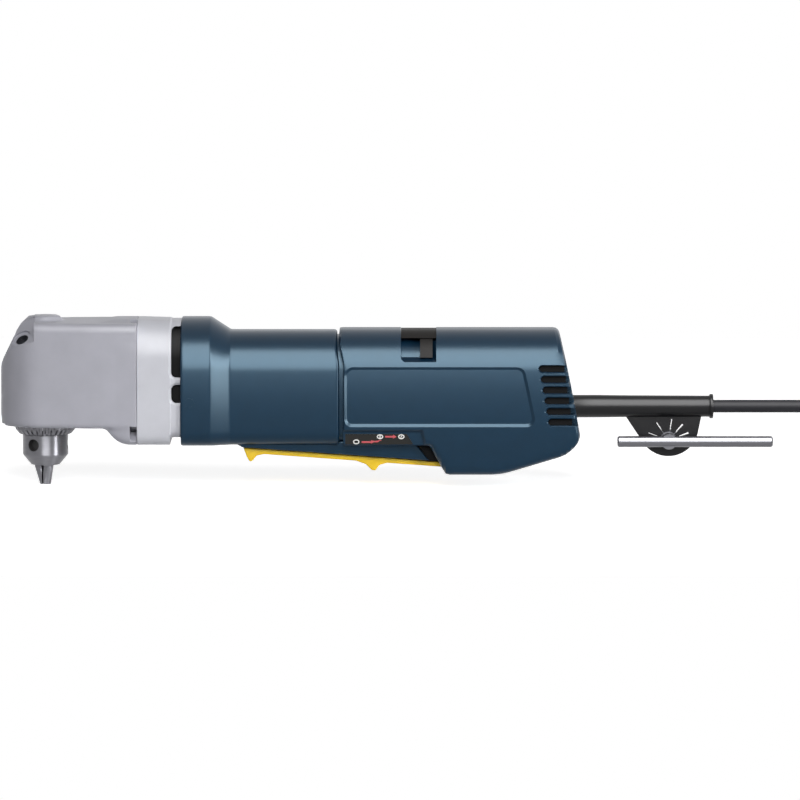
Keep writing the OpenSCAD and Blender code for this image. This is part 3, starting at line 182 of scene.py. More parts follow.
finishes = {
    # sprayed silver-grey lacquer on a die casting: satin, with a faint orange peel about 1 mm across
    "cast_head": finished("lacqueredCasting", "#a9a9b2", 0.42, grain=1.1, bump=0.03, mottle=0.03, specular=0.19),
    "cast_flange": finished("paleLacqueredCasting", "#c4c5cc", 0.40, grain=1.1, bump=0.03, mottle=0.03, specular=0.19),
    # glass-filled nylon from a spark-eroded mould: fine matt grain, drawn at 0.9 mm so that it shows
    "housing": finished("blueMouldedNylon", "#0a2438", 0.30, grain=0.9, bump=0.012, mottle=0.06, specular=0.24,
                        tint=(0.6, 0.85, 1), crown=2.0),
    "lever": finished("yellowMouldedNylon", "#edc62a", 0.42, grain=0.9, bump=0.03, mottle=0.05, specular=0.22),
    "slider": finished("brownBlackNylon", "#1c1a19", 0.5, grain=0.8, bump=0.03, mottle=0.08, specular=0.06),
    "black_plastic": finished("blackNylon", "#0c0c0d", 0.5, grain=0.8, bump=0.03, mottle=0.1, specular=0.05),
    "label": finished("blackPrintedFilm", "#0d0d0b", 0.30, grain=2.0, bump=0.005, mottle=0.1, specular=0.2),
    # turned and ground steel: fine tool lines round the chuck, drawn at 0.5 mm
    "steel": finished("turnedSteel", "#b9b9bd", 0.28, 1.0, grain=0.5, bump=0.01, mottle=0.08, stretch=(1, 1, 6)),
    "dark_steel": finished("oiledSteel", "#55565a", 0.40, 1.0, grain=0.6, bump=0.01, mottle=0.15),
    "chuck_steel": finished("groundChuckSteel", "#66666a", 0.36, 1.0, grain=0.5, bump=0.004, mottle=0.06,
                            stretch=(1, 1, 8), lathed=0.9),
    "key_steel": finished("platedKeySteel", "#5e5e62", 0.32, 1.0, grain=0.5, bump=0.006, mottle=0.05,
                          stretch=(0.05, 1, 1)),
    "copper": finished("enamelledCopper", "#b4652c", 0.35, 1.0, grain=0.7, bump=0.03, mottle=0.12, stretch=(0.1, 1, 1)),
    "brass": finished("drawnBrass", "#c9a45a", 0.3, 1.0, grain=0.6, bump=0.008, mottle=0.06),
    "carbon": finished("pressedCarbon", "#1c1c1d", 0.6, grain=0.5, bump=0.03, mottle=0.15),
    "capacitor_case": finished("castResin", "#caa53a", 0.3, grain=1.5, bump=0.01, mottle=0.06),
    # moulded rubber: dull black with a slight bloom
    "rubber": finished("mouldedRubber", "#121214", 0.32, grain=0.8, bump=0.02, mottle=0.12, specular=0.17),
    "cord_rubber": finished("cordRubber", "#202024", 0.50, grain=0.7, bump=0.03, mottle=0.12, specular=0.13),
    # woven strap: rough and matt, its threads drawn as a grain of 0.9 mm
    "tie": finished("wovenTie", "#202022", 0.7, grain=0.9, bump=0.08, mottle=0.2),
}
slotOf = {part["node"]: part["material_slot"] for part in frame["record"]["subparts"]}
for name, node in frame["nodes"].items():
    node.data.materials.clear()
    node.data.materials.append(finishes[slotOf[name]])
print("materials ready,", len(finishes))


# floor
floorMaterial, tree = newMaterial("studioFloor")
matt = addNode(tree, "ShaderNodeBsdfDiffuse", {"Color": (*[studio["floorTone"]] * 3, 1)})
glow = addNode(tree, "ShaderNodeEmission", {"Color": (1, 1, 1, 1), "Strength": studio["floorGlow"]})
lit = addNode(tree, "ShaderNodeAddShader", links={0: matt.outputs[0], 1: glow.outputs[0]})
mixed = addNode(tree, "ShaderNodeMixShader", links={0: seenDirectly(tree), 1: matt.outputs[0], 2: lit.outputs[0]})
addNode(tree, "ShaderNodeOutputMaterial", links={"Surface": mixed.outputs[0]})
floorMesh = bpy.data.meshes.new("floor")
(x0, x1), (y0, y1) = studio["floorX"], studio["floorY"]
floorMesh.from_pydata([(x0, y0, 0), (x1, y0, 0), (x1, y1, 0), (x0, y1, 0)], [], [(0, 1, 2, 3)])
floorMesh.materials.append(floorMaterial)
floor = bpy.data.objects.new("floor", floorMesh)
bpy.context.collection.objects.link(floor)


# shape tools: signed distances in mm, negative inside
core = 0.01   # the small radius that turned shapes keep at their axis


def roundMax(a, b, r):   # inside both, the edge between them rounded to radius r
    return np.minimum(np.maximum(a, b), -r) + np.hypot(np.maximum(a + r, 0), np.maximum(b + r, 0))


def roundMin(a, b, r):   # inside either, the inner corner filled to radius r
    return -roundMax(-a, -b, r)


def softMax(a, b, k):   # inside both, a blunt edge eased over the width k
    h = np.maximum(k - np.abs(a - b), 0) / k
    return np.maximum(a, b) + h * h * k / 4


def tomb(y, z, halfWidth, top, drop, topR, lowR):   # upright section, top corners topR and lower corners lowR
    return roundMax(roundMax(np.abs(y) - halfWidth, z - top, topR), -drop - z, lowR)


def plane(u, v, u0, v0, nu, nv):   # distance past a line through (u0, v0) with outward normal (nu, nv)
    return ((u - u0) * nu + (v - v0) * nv) / math.hypot(nu, nv)


def steps(*spans):   # stations from (start, end, spacing) spans, joined and sorted
    parts = [np.linspace(a, b, max(2, int(round(abs(b - a) / d)) + 1)) for a, b, d in spans]
    return np.unique(np.round(np.concatenate(parts), 4))


def ringColumns(zTop, zLow, spacing, arcSteps, extra=()):
    # Columns of a skin from the top down the left side to the bottom: base height and pointing angle in YZ.
    arc = np.radians(np.linspace(90, 180, arcSteps, endpoint=False))
    side = steps((zLow, zTop, spacing), *extra)[::-1]
    low = np.radians(np.linspace(180, 270, arcSteps + 1))[1:]
    base = np.concatenate([np.full(arcSteps, zTop), side, np.full(arcSteps, zLow)])
    angle = np.concatenate([arc, np.full(len(side), math.pi), low])
    return base, angle


def fanAngles(ahead, radius):   # tilts that spread rays over an end face and pack them round its edge
    share = np.array([0, 0.2, 0.4, 0.6, 0.75, 0.85, 0.91, 0.95, 0.975, 0.99])
    inner = np.arctan2(ahead, radius * share)
    corner = math.atan2(ahead, radius)
    return np.concatenate([inner, corner * np.array([1.0, 0.85, 0.7, 0.5, 0.3, 0.12])])


def skin(form, xs, columns, frontX, rearX, radius=30.0, reach=120.0):
    # Rays leave an upright spine at each station, straight out along the body and fanned over both ends; each
    # one is halved 30 times to where the form's distance is zero. frontX and rearX are the end faces' places.
    base, angle = columns
    base = np.concatenate([base, base[-2:0:-1]])   # the right side, as the left one's mirror
    angle = np.concatenate([angle, math.pi * 3 - angle[-2:0:-1]])
    frontTilt, rearTilt = fanAngles(xs[0] - frontX, radius), fanAngles(rearX - xs[-1], radius)
    rowX = np.concatenate([np.full(len(frontTilt), xs[0]), xs, np.full(len(rearTilt), xs[-1])])
    tilts = np.concatenate([-frontTilt, np.zeros(len(xs)), rearTilt[::-1]])
    x, tiltGrid = np.broadcast_to(rowX[:, None], (len(rowX), len(base))), tilts[:, None]
    dx = np.sin(tiltGrid) * np.ones_like(x)
    dy, dz = np.cos(tiltGrid) * np.cos(angle), np.cos(tiltGrid) * np.sin(angle)
    lo, hi = np.zeros_like(dx), np.full_like(dx, reach)
    for _ in range(30):
        mid = (lo + hi) / 2
        inside = form(x + mid * dx, mid * dy, base + mid * dz) < 0
        lo, hi = np.where(inside, mid, lo), np.where(inside, hi, mid)
    points = np.stack([x + lo * dx, lo * dy, base + lo * dz], -1)
    return points.reshape(-1, 3), gridFaces(*dx.shape)


def gridFaces(rows, cols):   # quads of a grid that is wrapped round in its second direction
    r, c = np.meshgrid(np.arange(rows - 1), np.arange(cols), indexing="ij")
    d = (c + 1) % cols
    return np.stack([r * cols + c, (r + 1) * cols + c, (r + 1) * cols + d, r * cols + d], -1).reshape(-1, 4)


def rounded(corners, arcSteps=6):   # outline with each corner (u, v, r) turned into an arc of radius r
    p = np.array(corners, float)
    out = []
    for a, b, c in zip(np.roll(p, 1, 0), p, np.roll(p, -1, 0)):
        if b[2] <= 0:
            out.append(b[:2][None])
            continue
        u, v = a[:2] - b[:2], c[:2] - b[:2]
        u, v = u / np.linalg.norm(u), v / np.linalg.norm(v)
        half = math.acos(np.clip(u @ v, -1, 1)) / 2
        middle = b[:2] + (u + v) / np.linalg.norm(u + v) * b[2] / math.sin(half)
        s, e = b[:2] + u * b[2] / math.tan(half) - middle, b[:2] + v * b[2] / math.tan(half) - middle
        t = np.linspace(0, 1, arcSteps)[:, None]
        ray = s * (1 - t) + e * t
        out.append(middle + ray / np.linalg.norm(ray, axis=1, keepdims=True) * b[2])
    return np.concatenate(out)


def drawnIn(outline, d):   # the outline moved in by d, each corner along its mitre; d may be negative
    e = np.roll(outline, -1, 0) - outline
    n = np.stack([-e[:, 1], e[:, 0]], 1) / np.maximum(np.linalg.norm(e, axis=1, keepdims=True), 1e-9)
    area = np.sum(outline[:, 0] * np.roll(outline[:, 1], -1) - np.roll(outline[:, 0], -1) * outline[:, 1])
    n = n * np.sign(area)
    m = n + np.roll(n, 1, 0)
    return outline + d * m * 2 / np.maximum(np.sum(m * m, 1, keepdims=True), 0.5)


def stacked(rings, at, axis):   # outlines set at places along an axis, as points
    points = np.zeros((*rings.shape[:2], 3))
    u, v = [a for a in (0, 1, 2) if a != axis]
    points[..., u], points[..., v], points[..., axis] = rings[..., 0], rings[..., 1], np.array(at)[:, None]
    return points.reshape(-1, 3)


def prism(outline, lo, hi, axis=1, edge=0.0, flare=0.0):
    # An outline carried along an axis; edge rounds both rims by drawing the outline in along a quarter circle,
    # and flare widens it evenly towards lo.
    q = np.radians(np.linspace(90, 0, 5))
    if edge:
        at = np.concatenate([lo + edge * (1 - np.sin(q)), hi - edge * (1 - np.sin(q[::-1]))])
        inset = np.concatenate([edge * (1 - np.cos(q)), edge * (1 - np.cos(q[::-1]))])
    else:
        at, inset = (lo, hi), (-flare, 0.0)
    rings = np.stack([drawnIn(outline, d) for d in inset])
    rows, cols = rings.shape[:2]
    faces = [*gridFaces(rows, cols).tolist(), list(range(cols)), list(range((rows - 1) * cols, rows * cols))]
    return stacked(rings, at, axis), faces


def band(outline, thick, lo, hi, axis):   # a closed strap: the outline and the same drawn in, joined along both rims
    inner = drawnIn(outline, thick)
    rings = np.stack([outline, outline, inner, inner])
    return stacked(rings, (lo, hi, hi, lo), axis), gridFaces(5, len(outline)) % (4 * len(outline))


def turned(profile, at=(0, 0, 0), axis=2, count=96, swing=None):
    # A closed profile of (radius, height) turned about an axis; swing(angle, point index) adds to the radius.
    profile = np.array(profile, float)
    a = np.linspace(0, 2 * math.pi, count, endpoint=False)[:, None]
    r = profile[None, :, 0] + (swing(a, np.arange(len(profile))[None]) if swing else 0)
    h = np.broadcast_to(profile[None, :, 1], r.shape)
    points = np.zeros((count, len(profile), 3))
    u, v = [(1, 2), (2, 0), (0, 1)][axis]
    points[..., u], points[..., v], points[..., axis] = r * np.cos(a), r * np.sin(a), h
    faces = gridFaces(count + 1, len(profile)) % (count * len(profile))
    return points.reshape(-1, 3) + np.array(at), faces


def oval(x, z, rx, rz):   # outline of an ellipse about (x, z)
    turn = np.linspace(0, 2 * math.pi, 40, endpoint=False)
    return np.stack([x + rx * np.cos(turn), z + rz * np.sin(turn)], 1)


def setAt(shape, origin, u, v, w):   # a shape made about the origin, moved so that its x, y and z run along u, v and w
    points, faces = shape
    return points @ np.array([u, v, w]) + np.array(origin), faces


def joined(*shapes):   # several closed shapes as one
    points, faces, offset = [], [], 0
    for p, f in shapes:
        points.append(p)
        faces += [[int(k) + offset for k in face] for face in f]
        offset += len(p)
    return np.concatenate(points), faces


def mirrored(shape):   # the same shape on the other side, its faces turned to point outwards
    points, faces = shape
    return points * np.array([1, -1, 1]), [list(face)[::-1] for face in faces]


def bothSides(*shapes):   # the shapes and their mirrors as one
    return joined(*shapes, *[mirrored(shape) for shape in shapes])


def meshFrom(name, shape):   # mm from the motor axis to a mesh in metres, doubles merged and faces outwards
    points, faces = shape
    mesh = bpy.data.meshes.new(name)
    sizes = np.array([len(face) for face in faces])
    mesh.vertices.add(len(points))
    mesh.vertices.foreach_set("co", ((points + np.array([0, 0, axisZ])) / 1000).astype(np.float32).ravel())
    mesh.loops.add(int(sizes.sum()))
    mesh.loops.foreach_set("vertex_index", np.concatenate([np.asarray(f) for f in faces]).astype(np.int32))
    mesh.polygons.add(len(faces))
    mesh.polygons.foreach_set("loop_start", np.concatenate([[0], np.cumsum(sizes)[:-1]]).astype(np.int32))
    mesh.update(calc_edges=True)
    work = bmesh.new()
    work.from_mesh(mesh)
    bmesh.ops.remove_doubles(work, verts=work.verts, dist=2e-6)
    bmesh.ops.dissolve_degenerate(work, edges=work.edges, dist=1e-6)
    rim = [e for e in work.edges if e.is_boundary]
    if rim:
        bmesh.ops.holes_fill(work, edges=rim)
    bmesh.ops.recalc_face_normals(work, faces=work.faces)
    work.to_mesh(mesh)
    work.free()
    return mesh


def carve(mesh, *cuts):   # takes the cutting shapes, which don't touch each other, out of a closed mesh
    host = bpy.data.objects.new("host", mesh)
    tool = bpy.data.objects.new("tool", meshFrom("tool", joined(*cuts)))
    for thing in (host, tool):
        bpy.context.collection.objects.link(thing)
    step = host.modifiers.new("carve", "BOOLEAN")
    step.operation, step.object, step.solver = "DIFFERENCE", tool, "MANIFOLD"
    result = bpy.data.meshes.new_from_object(host.evaluated_get(bpy.context.evaluated_depsgraph_get()))
    for thing in (host, tool):
        bpy.data.objects.remove(thing)
    return result


def halved(mesh, side):   # the part of a closed mesh on one side of the middle plane, its cut filled
    work = bmesh.new()
    work.from_mesh(mesh)
    cut = bmesh.ops.bisect_plane(work, geom=work.verts[:] + work.edges[:] + work.faces[:], plane_co=(0, 0, 0),
                                 plane_no=(0, side, 0), clear_inner=True)
    bmesh.ops.holes_fill(work, edges=[e for e in cut["geom_cut"] if isinstance(e, bmesh.types.BMEdge)])
    half = bpy.data.meshes.new("half")
    work.to_mesh(half)
    work.free()
    return half


def place(name, mesh, finish, body, nodes=(), sharp=32.0):
    # The finished piece: smooth shading with edges kept past the sharp angle, its finish, body and nodes.
    mesh.name = name
    mesh.materials.clear()
    mesh.materials.append(finishes[finish])
    mesh.shade_smooth()
    mesh.set_sharp_from_angle(angle=math.radians(sharp))
    piece = bpy.data.objects.new(name, mesh)
    bpy.context.collection.objects.link(piece)
    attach(piece, body)
    if nodes:
        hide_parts(*nodes)
    print(name, len(mesh.polygons), "faces")
    return piece


# mains lead: out of the sleeve, down and aside to the floor, then folded into a tied hank with the plug inside
lead = {"d": 7.7, "z": -19.2, "straightX": (399.5, 410, 420, 432, 444), "bendX": 456.0, "bendR": 34.0, "bendA": 55.0,
        "runIn": 25.0, "run": 150.0, "foldR": 30.4, "gap": 0.5, "tailR": 45.0, "tieT": 1.2, "plugH": 13.5}
cordR = lead["d"] / 2
pitch = lead["d"] + lead["gap"]
floorZ = -axisZ + lead["tieT"] + 0.3 + cordR
outR, inR = lead["foldR"] + pitch / 2, lead["foldR"] - pitch / 2


def sBend(start, shift, r, a):
    # Two equal arcs in the plane of X and the shift, joined by a straight slope; it starts and ends along X.
    far = np.linalg.norm(shift)
    side = shift / far
    slope = (far - 2 * r * (1 - math.cos(a))) / math.sin(a)
    end = start + shift + np.array([2 * r * math.sin(a) + slope * math.cos(a), 0, 0])
    t = np.linspace(0, a, 13)[:, None]
    arc = r * np.sin(t) * np.array([1.0, 0, 0]) + r * (1 - np.cos(t)) * side
    return np.concatenate([start + arc, (end - arc)[-2::-1] if slope < 0.01 else (end - arc)[::-1]])


down = sBend(np.array([lead["bendX"], 0, lead["z"]]), np.array([0, -outR, floorZ - lead["z"]]), lead["bendR"],
             math.radians(lead["bendA"]))
hankX = down[-1, 0] + lead["runIn"] + lead["run"] / 2
straight = np.array([[x, 0, lead["z"]] for x in lead["straightX"]])
run = np.array([[down[-1, 0] + 0.6 * lead["runIn"], -outR, floorZ]])
fold = np.arange(8)[:, None]   # half turns: in on the floor, out on the second layer, in again on the third
t = fold / 2 + np.linspace(0, 0.5, 25)
radius = np.select([t < 1, t < 1.5, t < 2.5, t < 3],
                   [outR - pitch * t, inR - pitch * (0.25 - np.abs(t - 1.25)), inR + pitch * (t - 1.5),
                    outR + pitch * (0.25 - np.abs(t - 2.75))], outR - pitch * (t - 3))
u, v = np.clip((t - 1) * 2, 0, 1), np.clip((t - 2.5) * 2, 0, 1)
layer = u * u * (3 - 2 * u) + v * v * (3 - 2 * v)
angle = 2 * math.pi * t - math.pi / 2
hank = np.stack([hankX + np.where(fold % 2 == 0, 0.5, -0.5) * lead["run"] + radius * np.cos(angle),
                 radius * np.sin(angle), floorZ + pitch * layer], -1).reshape(-1, 3)
plugZ = lead["plugH"] - axisZ
shift = np.array([0, inR, plugZ - hank[-1, 2]])
tail = sBend(hank[-1], shift, lead["tailR"], math.acos(1 - np.linalg.norm(shift) / 2 / lead["tailR"]))[1:]
plugX = tail[-1, 0] + 3
leadPath = (np.concatenate([straight, down, run, hank, tail, [[plugX + 1, 0, plugZ]]]) + [0, 0, axisZ]) / 1000
curve = bpy.data.curves.new("mainsLead", "CURVE")
curve.dimensions = "3D"
curve.bevel_depth, curve.bevel_resolution, curve.use_fill_caps = cordR / 1000, 5, True
spline = curve.splines.new("POLY")
spline.points.add(len(leadPath) - 1)
spline.points.foreach_set("co", np.c_[leadPath, np.ones(len(leadPath))].ravel())
curve.materials.append(finishes["cord_rubber"])
mainsLead = bpy.data.objects.new("mainsLead", curve)
bpy.context.collection.objects.link(mainsLead)
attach(mainsLead, "housing")
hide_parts("cord_lead", "cord_hank")


# plug: moulded body with grip grooves across its sides
plug = {"l": 42.0, "w": 18.5, "h": lead["plugH"], "neckR": 6.0, "neckL": 8.0, "swellL": 12.0, "grooveDeep": 0.5,
        "groovesEnd": 36.0}


def plugForm(x, y, z):
    # A neck that swells smoothly into a rounded block, with shallow grooves where a cosine along it is high.
    s = np.clip((x - plug["neckL"]) / plug["swellL"], 0, 1)
    swell = s * s * (3 - 2 * s)
    groove = plug["grooveDeep"] * swell * (np.cos(x * 1.5) > 0.6) * (x < plug["groovesEnd"])
    w = plug["neckR"] + (plug["w"] - plug["neckR"]) * swell - groove
    h = plug["neckR"] + (plug["h"] - 0.05 - plug["neckR"]) * swell
    return roundMax(roundMax(np.abs(y) - w, np.abs(z) - h, 4.5), np.maximum(-x, x - plug["l"]), 1.5)


points, faces = skin(plugForm, steps((3, 39, 0.7)), ringColumns(0.5, -0.5, 0.5, 18), 0.0, plug["l"], 16.0, 40.0)
plugMesh = meshFrom("plugBody", (points + np.array([plugX, 0, plugZ]), faces))
plugBody = place("plugBody", plugMesh, "cord_rubber", "housing", ["plug_body"])


# strap tied round the rear run: a rounded loop with thickness, its free end folded back on the outside
tie = {"w": 9.0, "t": lead["tieT"], "play": 0.6, "cornerR": 3.5}
yIn, yOut = inR - cordR - tie["play"] - tie["t"], outR + cordR + tie["play"] + tie["t"]
zTop = -axisZ + 2 * pitch + lead["d"] + tie["play"] + 2 * tie["t"]
loop = rounded([(y, z, tie["cornerR"]) for y, z in ((yIn, -axisZ), (yOut, -axisZ), (yOut, zTop), (yIn, zTop))], 8)
strap = band(loop, tie["t"], hankX - tie["w"] / 2, hankX + tie["w"] / 2, 0)
end = prism(rounded([(yOut - 0.2, zTop - 16, 0.5), (yOut + 0.9, zTop - 16, 0.5), (yOut + 0.9, zTop - 5, 0.5),
                     (yOut - 0.2, zTop - 4, 0.3)], 4), hankX - tie["w"] / 2 + 0.3, hankX + tie["w"] / 2 - 0.3, 0, 0.3)
cordTie = place("cordTie", meshFrom("cordTie", joined(strap, end)), "tie", "housing", ["cord_tie"])


# gear head: lacquered casting with a round nose, a front bevel and corner pockets for the side handle
head = {
    "r": 26.5, "side": 30.6, "top": 32.5, "drop": 30.0, "end": 56.0, "topRim": 5.0, "lowRim": 2.5,
    "widenAt": (-2.96, 26.33), "widen": 0.1123,    # where the plan leaves the nose's circle, and its slope from there
    "bevelZ": 7.0, "bevelA": 63.0,
    "bossX": -0.5, "bossR": 11.5, "bossTop": 35.7,
    "recessR": 21.03, "recessZ": -11.8,            # room for the bearing holder underneath
    "handleAt": (-13.4, -17.4, 23.4), "handleDir": (-0.4, -0.52, 0.755), "pocketX": -5.4,
    "screws": ((16.0, 24.2, 0.0), (24.0, -28.0, -130.0)), "screwR": 4.2, "screwX": 51.8,   # y, z and turn of each cup
}
seam = {"halfWidth": 31.0, "top": 34.2, "drop": 40.0, "topR": 22.0, "lowR": 7.0}   # where head and flange meet


def seamSection(y, z, fall=0.0):   # that section, its top lowered by fall
    return tomb(y, z, seam["halfWidth"], seam["top"] - fall, seam["drop"], seam["topR"], seam["lowR"])


def headForm(x, y, z):
    # Half-round plan that widens on straight tangents to parallel sides, flat top and bottom with soft rims and a
    # front bevel; the underside comes down on a slope to the flange section, and the round boss stands on top.
    ya = np.abs(y)
    widenX, widenY = head["widenAt"]
    plan = np.where(x < widenX, np.hypot(x, y) - head["r"], plane(x, ya, widenX, widenY, -head["widen"], 1.0))
    plan = softMax(plan, ya - head["side"], 1.5)
    body = roundMax(roundMax(plan, z - head["top"], head["topRim"]), -head["drop"] - z, head["lowRim"])
    slope = math.radians(head["bevelA"])
    body = softMax(body, plane(x, z, -head["r"], head["bevelZ"], -math.sin(slope), math.cos(slope)), 2.0)
    swell = softMax(seamSection(y, z), plane(x, z, 36.0, -29.0, -11.0, -9.5), 5.0)
    swell = softMax(swell, plane(x, z, 39.0, seam["top"], -2.7, 5.0), 3.0)
    swell = softMax(swell, plane(x, ya, 52.0, seam["halfWidth"], -5.4, 20.0), 2.0)
    body = roundMin(body, np.maximum(swell, 30.0 - x), 2.0)
    boss = (np.hypot(x - head["bossX"], y) - head["bossR"] + 0.78 * (z - head["top"])) * 0.79   # a cone
    boss = roundMax(boss, z - head["bossTop"], 1.0)
    body = roundMin(body, np.maximum(boss, 26.0 - z), 1.2)
    return roundMax(body, x - head["end"], 0.5)


headSkin = skin(headForm, steps((0, 30, 0.9), (30, 53.5, 0.7)), ringColumns(10.0, -12.0, 0.9, 46), -head["r"],
                head["end"])
recess = turned([(core, -40), (head["recessR"], -40), (head["recessR"], head["recessZ"]), (core, head["recessZ"])])
# each corner pocket is a wedge between a leaning plane and an upright one, with a counterbored hole square to the first
n = np.array(head["handleDir"]) / np.linalg.norm(head["handleDir"])
ridge = np.cross(n, (1.0, 0, 0)) / np.linalg.norm(np.cross(n, (1.0, 0, 0)))
lean = np.cross(ridge, (1.0, 0, 0))
edgeX, reach = head["pocketX"] - head["handleAt"][0], 40.0   # the wedge reaches well outside the head
nearV, farV = -n[0] * edgeX / (n @ lean), -n[0] * (edgeX - reach) / (n @ lean)   # along lean, on the leaning plane
upV = reach * np.sign(n @ lean)
wedge = np.array([(edgeX, nearV), (edgeX - reach, farV), (edgeX - reach, farV + upV), (edgeX, nearV + upV)])
pocket = setAt(prism(wedge, -32.0, 15.0, 2), head["handleAt"], (1, 0, 0), lean, ridge)


def handleTurned(profile):   # a profile turned about the handle hole's axis
    return setAt(turned(profile, count=48), head["handleAt"], ridge, np.cross(n, ridge), n)


socket = handleTurned([(core, -7.5), (4.0, -7.5), (4.0, -1.5), (6.0, -1.5), (6.2, -1.3), (6.2, 4), (core, 4)])
thread = handleTurned([(core, -7.6), (3.98, -7.6), (3.98, -1.7), (3.8, -1.7), (3.8, -7.2), (core, -7.2)])
arc = np.radians(np.linspace(180, 360, 13))
cup = head["screwR"] * np.stack([np.cos(arc), np.sin(arc)], 1)
cup = np.concatenate([cup, [(head["screwR"], 16), (-head["screwR"], 16)]])
screwCuts = []
for sy, sz, turn in head["screws"]:   # the upper ones open upwards, the lower ones outwards and down
    c, d = math.cos(math.radians(turn)), math.sin(math.radians(turn))
    there = np.stack([-(cup[:, 0] * c - cup[:, 1] * d + sy), cup[:, 0] * d + cup[:, 1] * c + sz], 1)
    screwCuts.append(prism(there, head["screwX"], 60.0, 0))
headMesh = meshFrom("gearHead", headSkin)
for side in (lambda shape: shape, mirrored):
    headMesh = carve(headMesh, side(pocket))
    headMesh = carve(headMesh, side(socket), *[side(cutter) for cutter in screwCuts])
place("gearHead", carve(headMesh, recess), "cast_head", "housing", ["gear_head"], 30.0)
place("handleThreads", meshFrom("handleThreads", bothSides(thread)), "dark_steel", "housing")


# gear flange: paler casting, cut back at the bottom and notched for the cooling air
flange = {"start": 56.0, "end": 82.0, "rimX": 75.7, "rimHalf": 30.8, "rimTop": 33.2, "rimDrop": 35.5, "rimR": 22.0,
          "notches": ((0.6, 30.6), (-14.6, -3.6)), "notchX": 76.5, "shadeBaffleDeep": 3.4, "shadeBaffleT": 1.0}


def flangeForm(x, y, z):
    # The seam's section, its top falling slightly to the rear, and past rimX a lower rim of its own section.
    full = np.maximum(seamSection(y, z, 0.035 * np.maximum(x - 60, 0)), x - flange["rimX"])
    rim = tomb(y, z, flange["rimHalf"], flange["rimTop"], flange["rimDrop"], flange["rimR"], 6.0)
    body = roundMin(roundMax(full, x - flange["rimX"] - 1.6, 0.8), rim, 0.8)
    return roundMax(body, np.maximum(flange["start"] - x, x - flange["end"]), 0.5)


points = skin(flangeForm, steps((58.5, 74, 1.5), (74, 79.5, 0.3)), ringColumns(10.0, -30.0, 1.6, 24), flange["start"],
              flange["end"], 31.0)
cornerY, cornerZ = flange["rimHalf"] - flange["rimR"], flange["rimTop"] - flange["rimR"]
cuts, rims, shadeBaffles = [], [], []
for low, high in flange["notches"]:   # a notch, the chamfer round it, and a black strip inside that follows the rim, as baffle and painted shade
    outline = rounded([(flange["notchX"], low, 3.0), (84, low, 0), (84, high, 0), (flange["notchX"], high, 3.0)])
    notch, rim = prism(outline, -40.0, -12.0), prism(outline, -32.2, -29.8, flare=2.8)
    cuts += [notch, mirrored(notch)]
    rims += [rim, mirrored(rim)]
    z = np.linspace(low - 0.5, high - 0.2, 24)
    y = flange["shadeBaffleDeep"] - cornerY - np.sqrt(flange["rimR"] ** 2 - np.maximum(z - cornerZ, 0) ** 2)
    strip = np.concatenate([np.stack([y, z], 1), np.stack([y + flange["shadeBaffleT"], z], 1)[::-1]])
    shadeBaffles.append(prism(strip, flange["notchX"] + 0.1, flange["end"] - 0.1, 0))
flangeMesh = carve(carve(meshFrom("gearFlange", points), *cuts), *rims)
place("gearFlange", flangeMesh, "cast_flange", "housing", ["gear_flange"])
# black strips behind the notches: the motor's air baffle, and painted shade of the dark room behind the notches
place("baffleStripsAndShade", meshFrom("baffleStripsAndShade", bothSides(*shadeBaffles)), "black_plastic", "housing")


# motor housing: fan collar, taper, grip tube and the keel round the lever
grip = {"collarX": 82.0, "taperX": 99.5, "tubeX": 111.5, "end": 175.2, "drop": 40.5,
        "collar": (33.0, 34.7, 29.5), "tube": (26.7, 26.8, 22.5),   # half width, top and corner radius
        "keelHalf": 20.0, "slotHalf": 16.8, "markAt": (87.4, -14.4), "markR": 3.0}
mouth = {"x": 118.5, "z": -42.0, "fall": 8.3, "run": 116.4}   # the keel's lower edge, which slopes to the rear


def mouthZ(x):   # height of that edge
    return mouth["z"] - (x - mouth["x"]) * mouth["fall"] / mouth["run"]


def rimBack(z):   # the rims beside the groove swing back below the top corners, by 2.6 mm at the rear one
    s = np.clip((22 - z) / 16, 0, 1)
    return 2.6 * s * s * (3 - 2 * s)


def gripForm(x, y, z):
    # Tomb sections whose width and height run from the collar's to the tube's over the taper, its ends eased.
    s = (grip["tubeX"] - x) / (grip["tubeX"] - grip["taperX"])
    s = 0.5 * (np.sqrt(s * s + 0.002) - np.sqrt((s - 1) ** 2 + 0.002) + 1)
    half, top, corner = [tube + (collar - tube) * s for tube, collar in zip(grip["tube"], grip["collar"])]
    section = tomb(y, z, half, top, grip["drop"], corner, 8.0)
    return roundMax(roundMax(section, grip["collarX"] - x, 1.2), x - grip["end"] - 0.5 * rimBack(z), 1.8)


points = skin(gripForm, steps((85, 98, 1.6), (98, 101, 0.3), (101, 110, 1.0), (110, 113, 0.3), (113, 170, 2.5)),
              ringColumns(4.3, -32.5, 1.8, 30), grip["collarX"], 176.0, 28.0)
# the neck fills the groove in front of the rear shells
neck = prism(rounded([(-23.0, -38.5, 6), (23.0, -38.5, 6), (23.0, 24.0, 19), (-23.0, 24.0, 19)], 12), 168.0, 182.0, 0)
mark = band(oval(*grip["markAt"], grip["markR"], grip["markR"]), 0.6, -33.12, -32.6, 1)   # moulded ring
keelLine = np.array([(113.5, -38.5), (222.0, -38.5), (222.9, -40.8), (230.2, mouthZ(230.2)), (mouth["x"], mouth["z"]),
                     (115.5, -40.4)])
keel = prism(keelLine, -grip["keelHalf"], grip["keelHalf"], edge=0.8)
channel = prism(np.array([(117.3, -40.3), (116.1, -46.0), (240.0, -56.0), (240.0, -40.3)]), -grip["slotHalf"],
                grip["slotHalf"])
keelMesh = carve(meshFrom("keel", keel), channel)
gripMesh = meshFrom("motorHousing", joined(points, neck, mark, mirrored(mark)))
place("motorHousing", gripMesh, "housing", "housing", ["motor_housing"])
place("leverKeel", keelMesh, "housing", "housing")
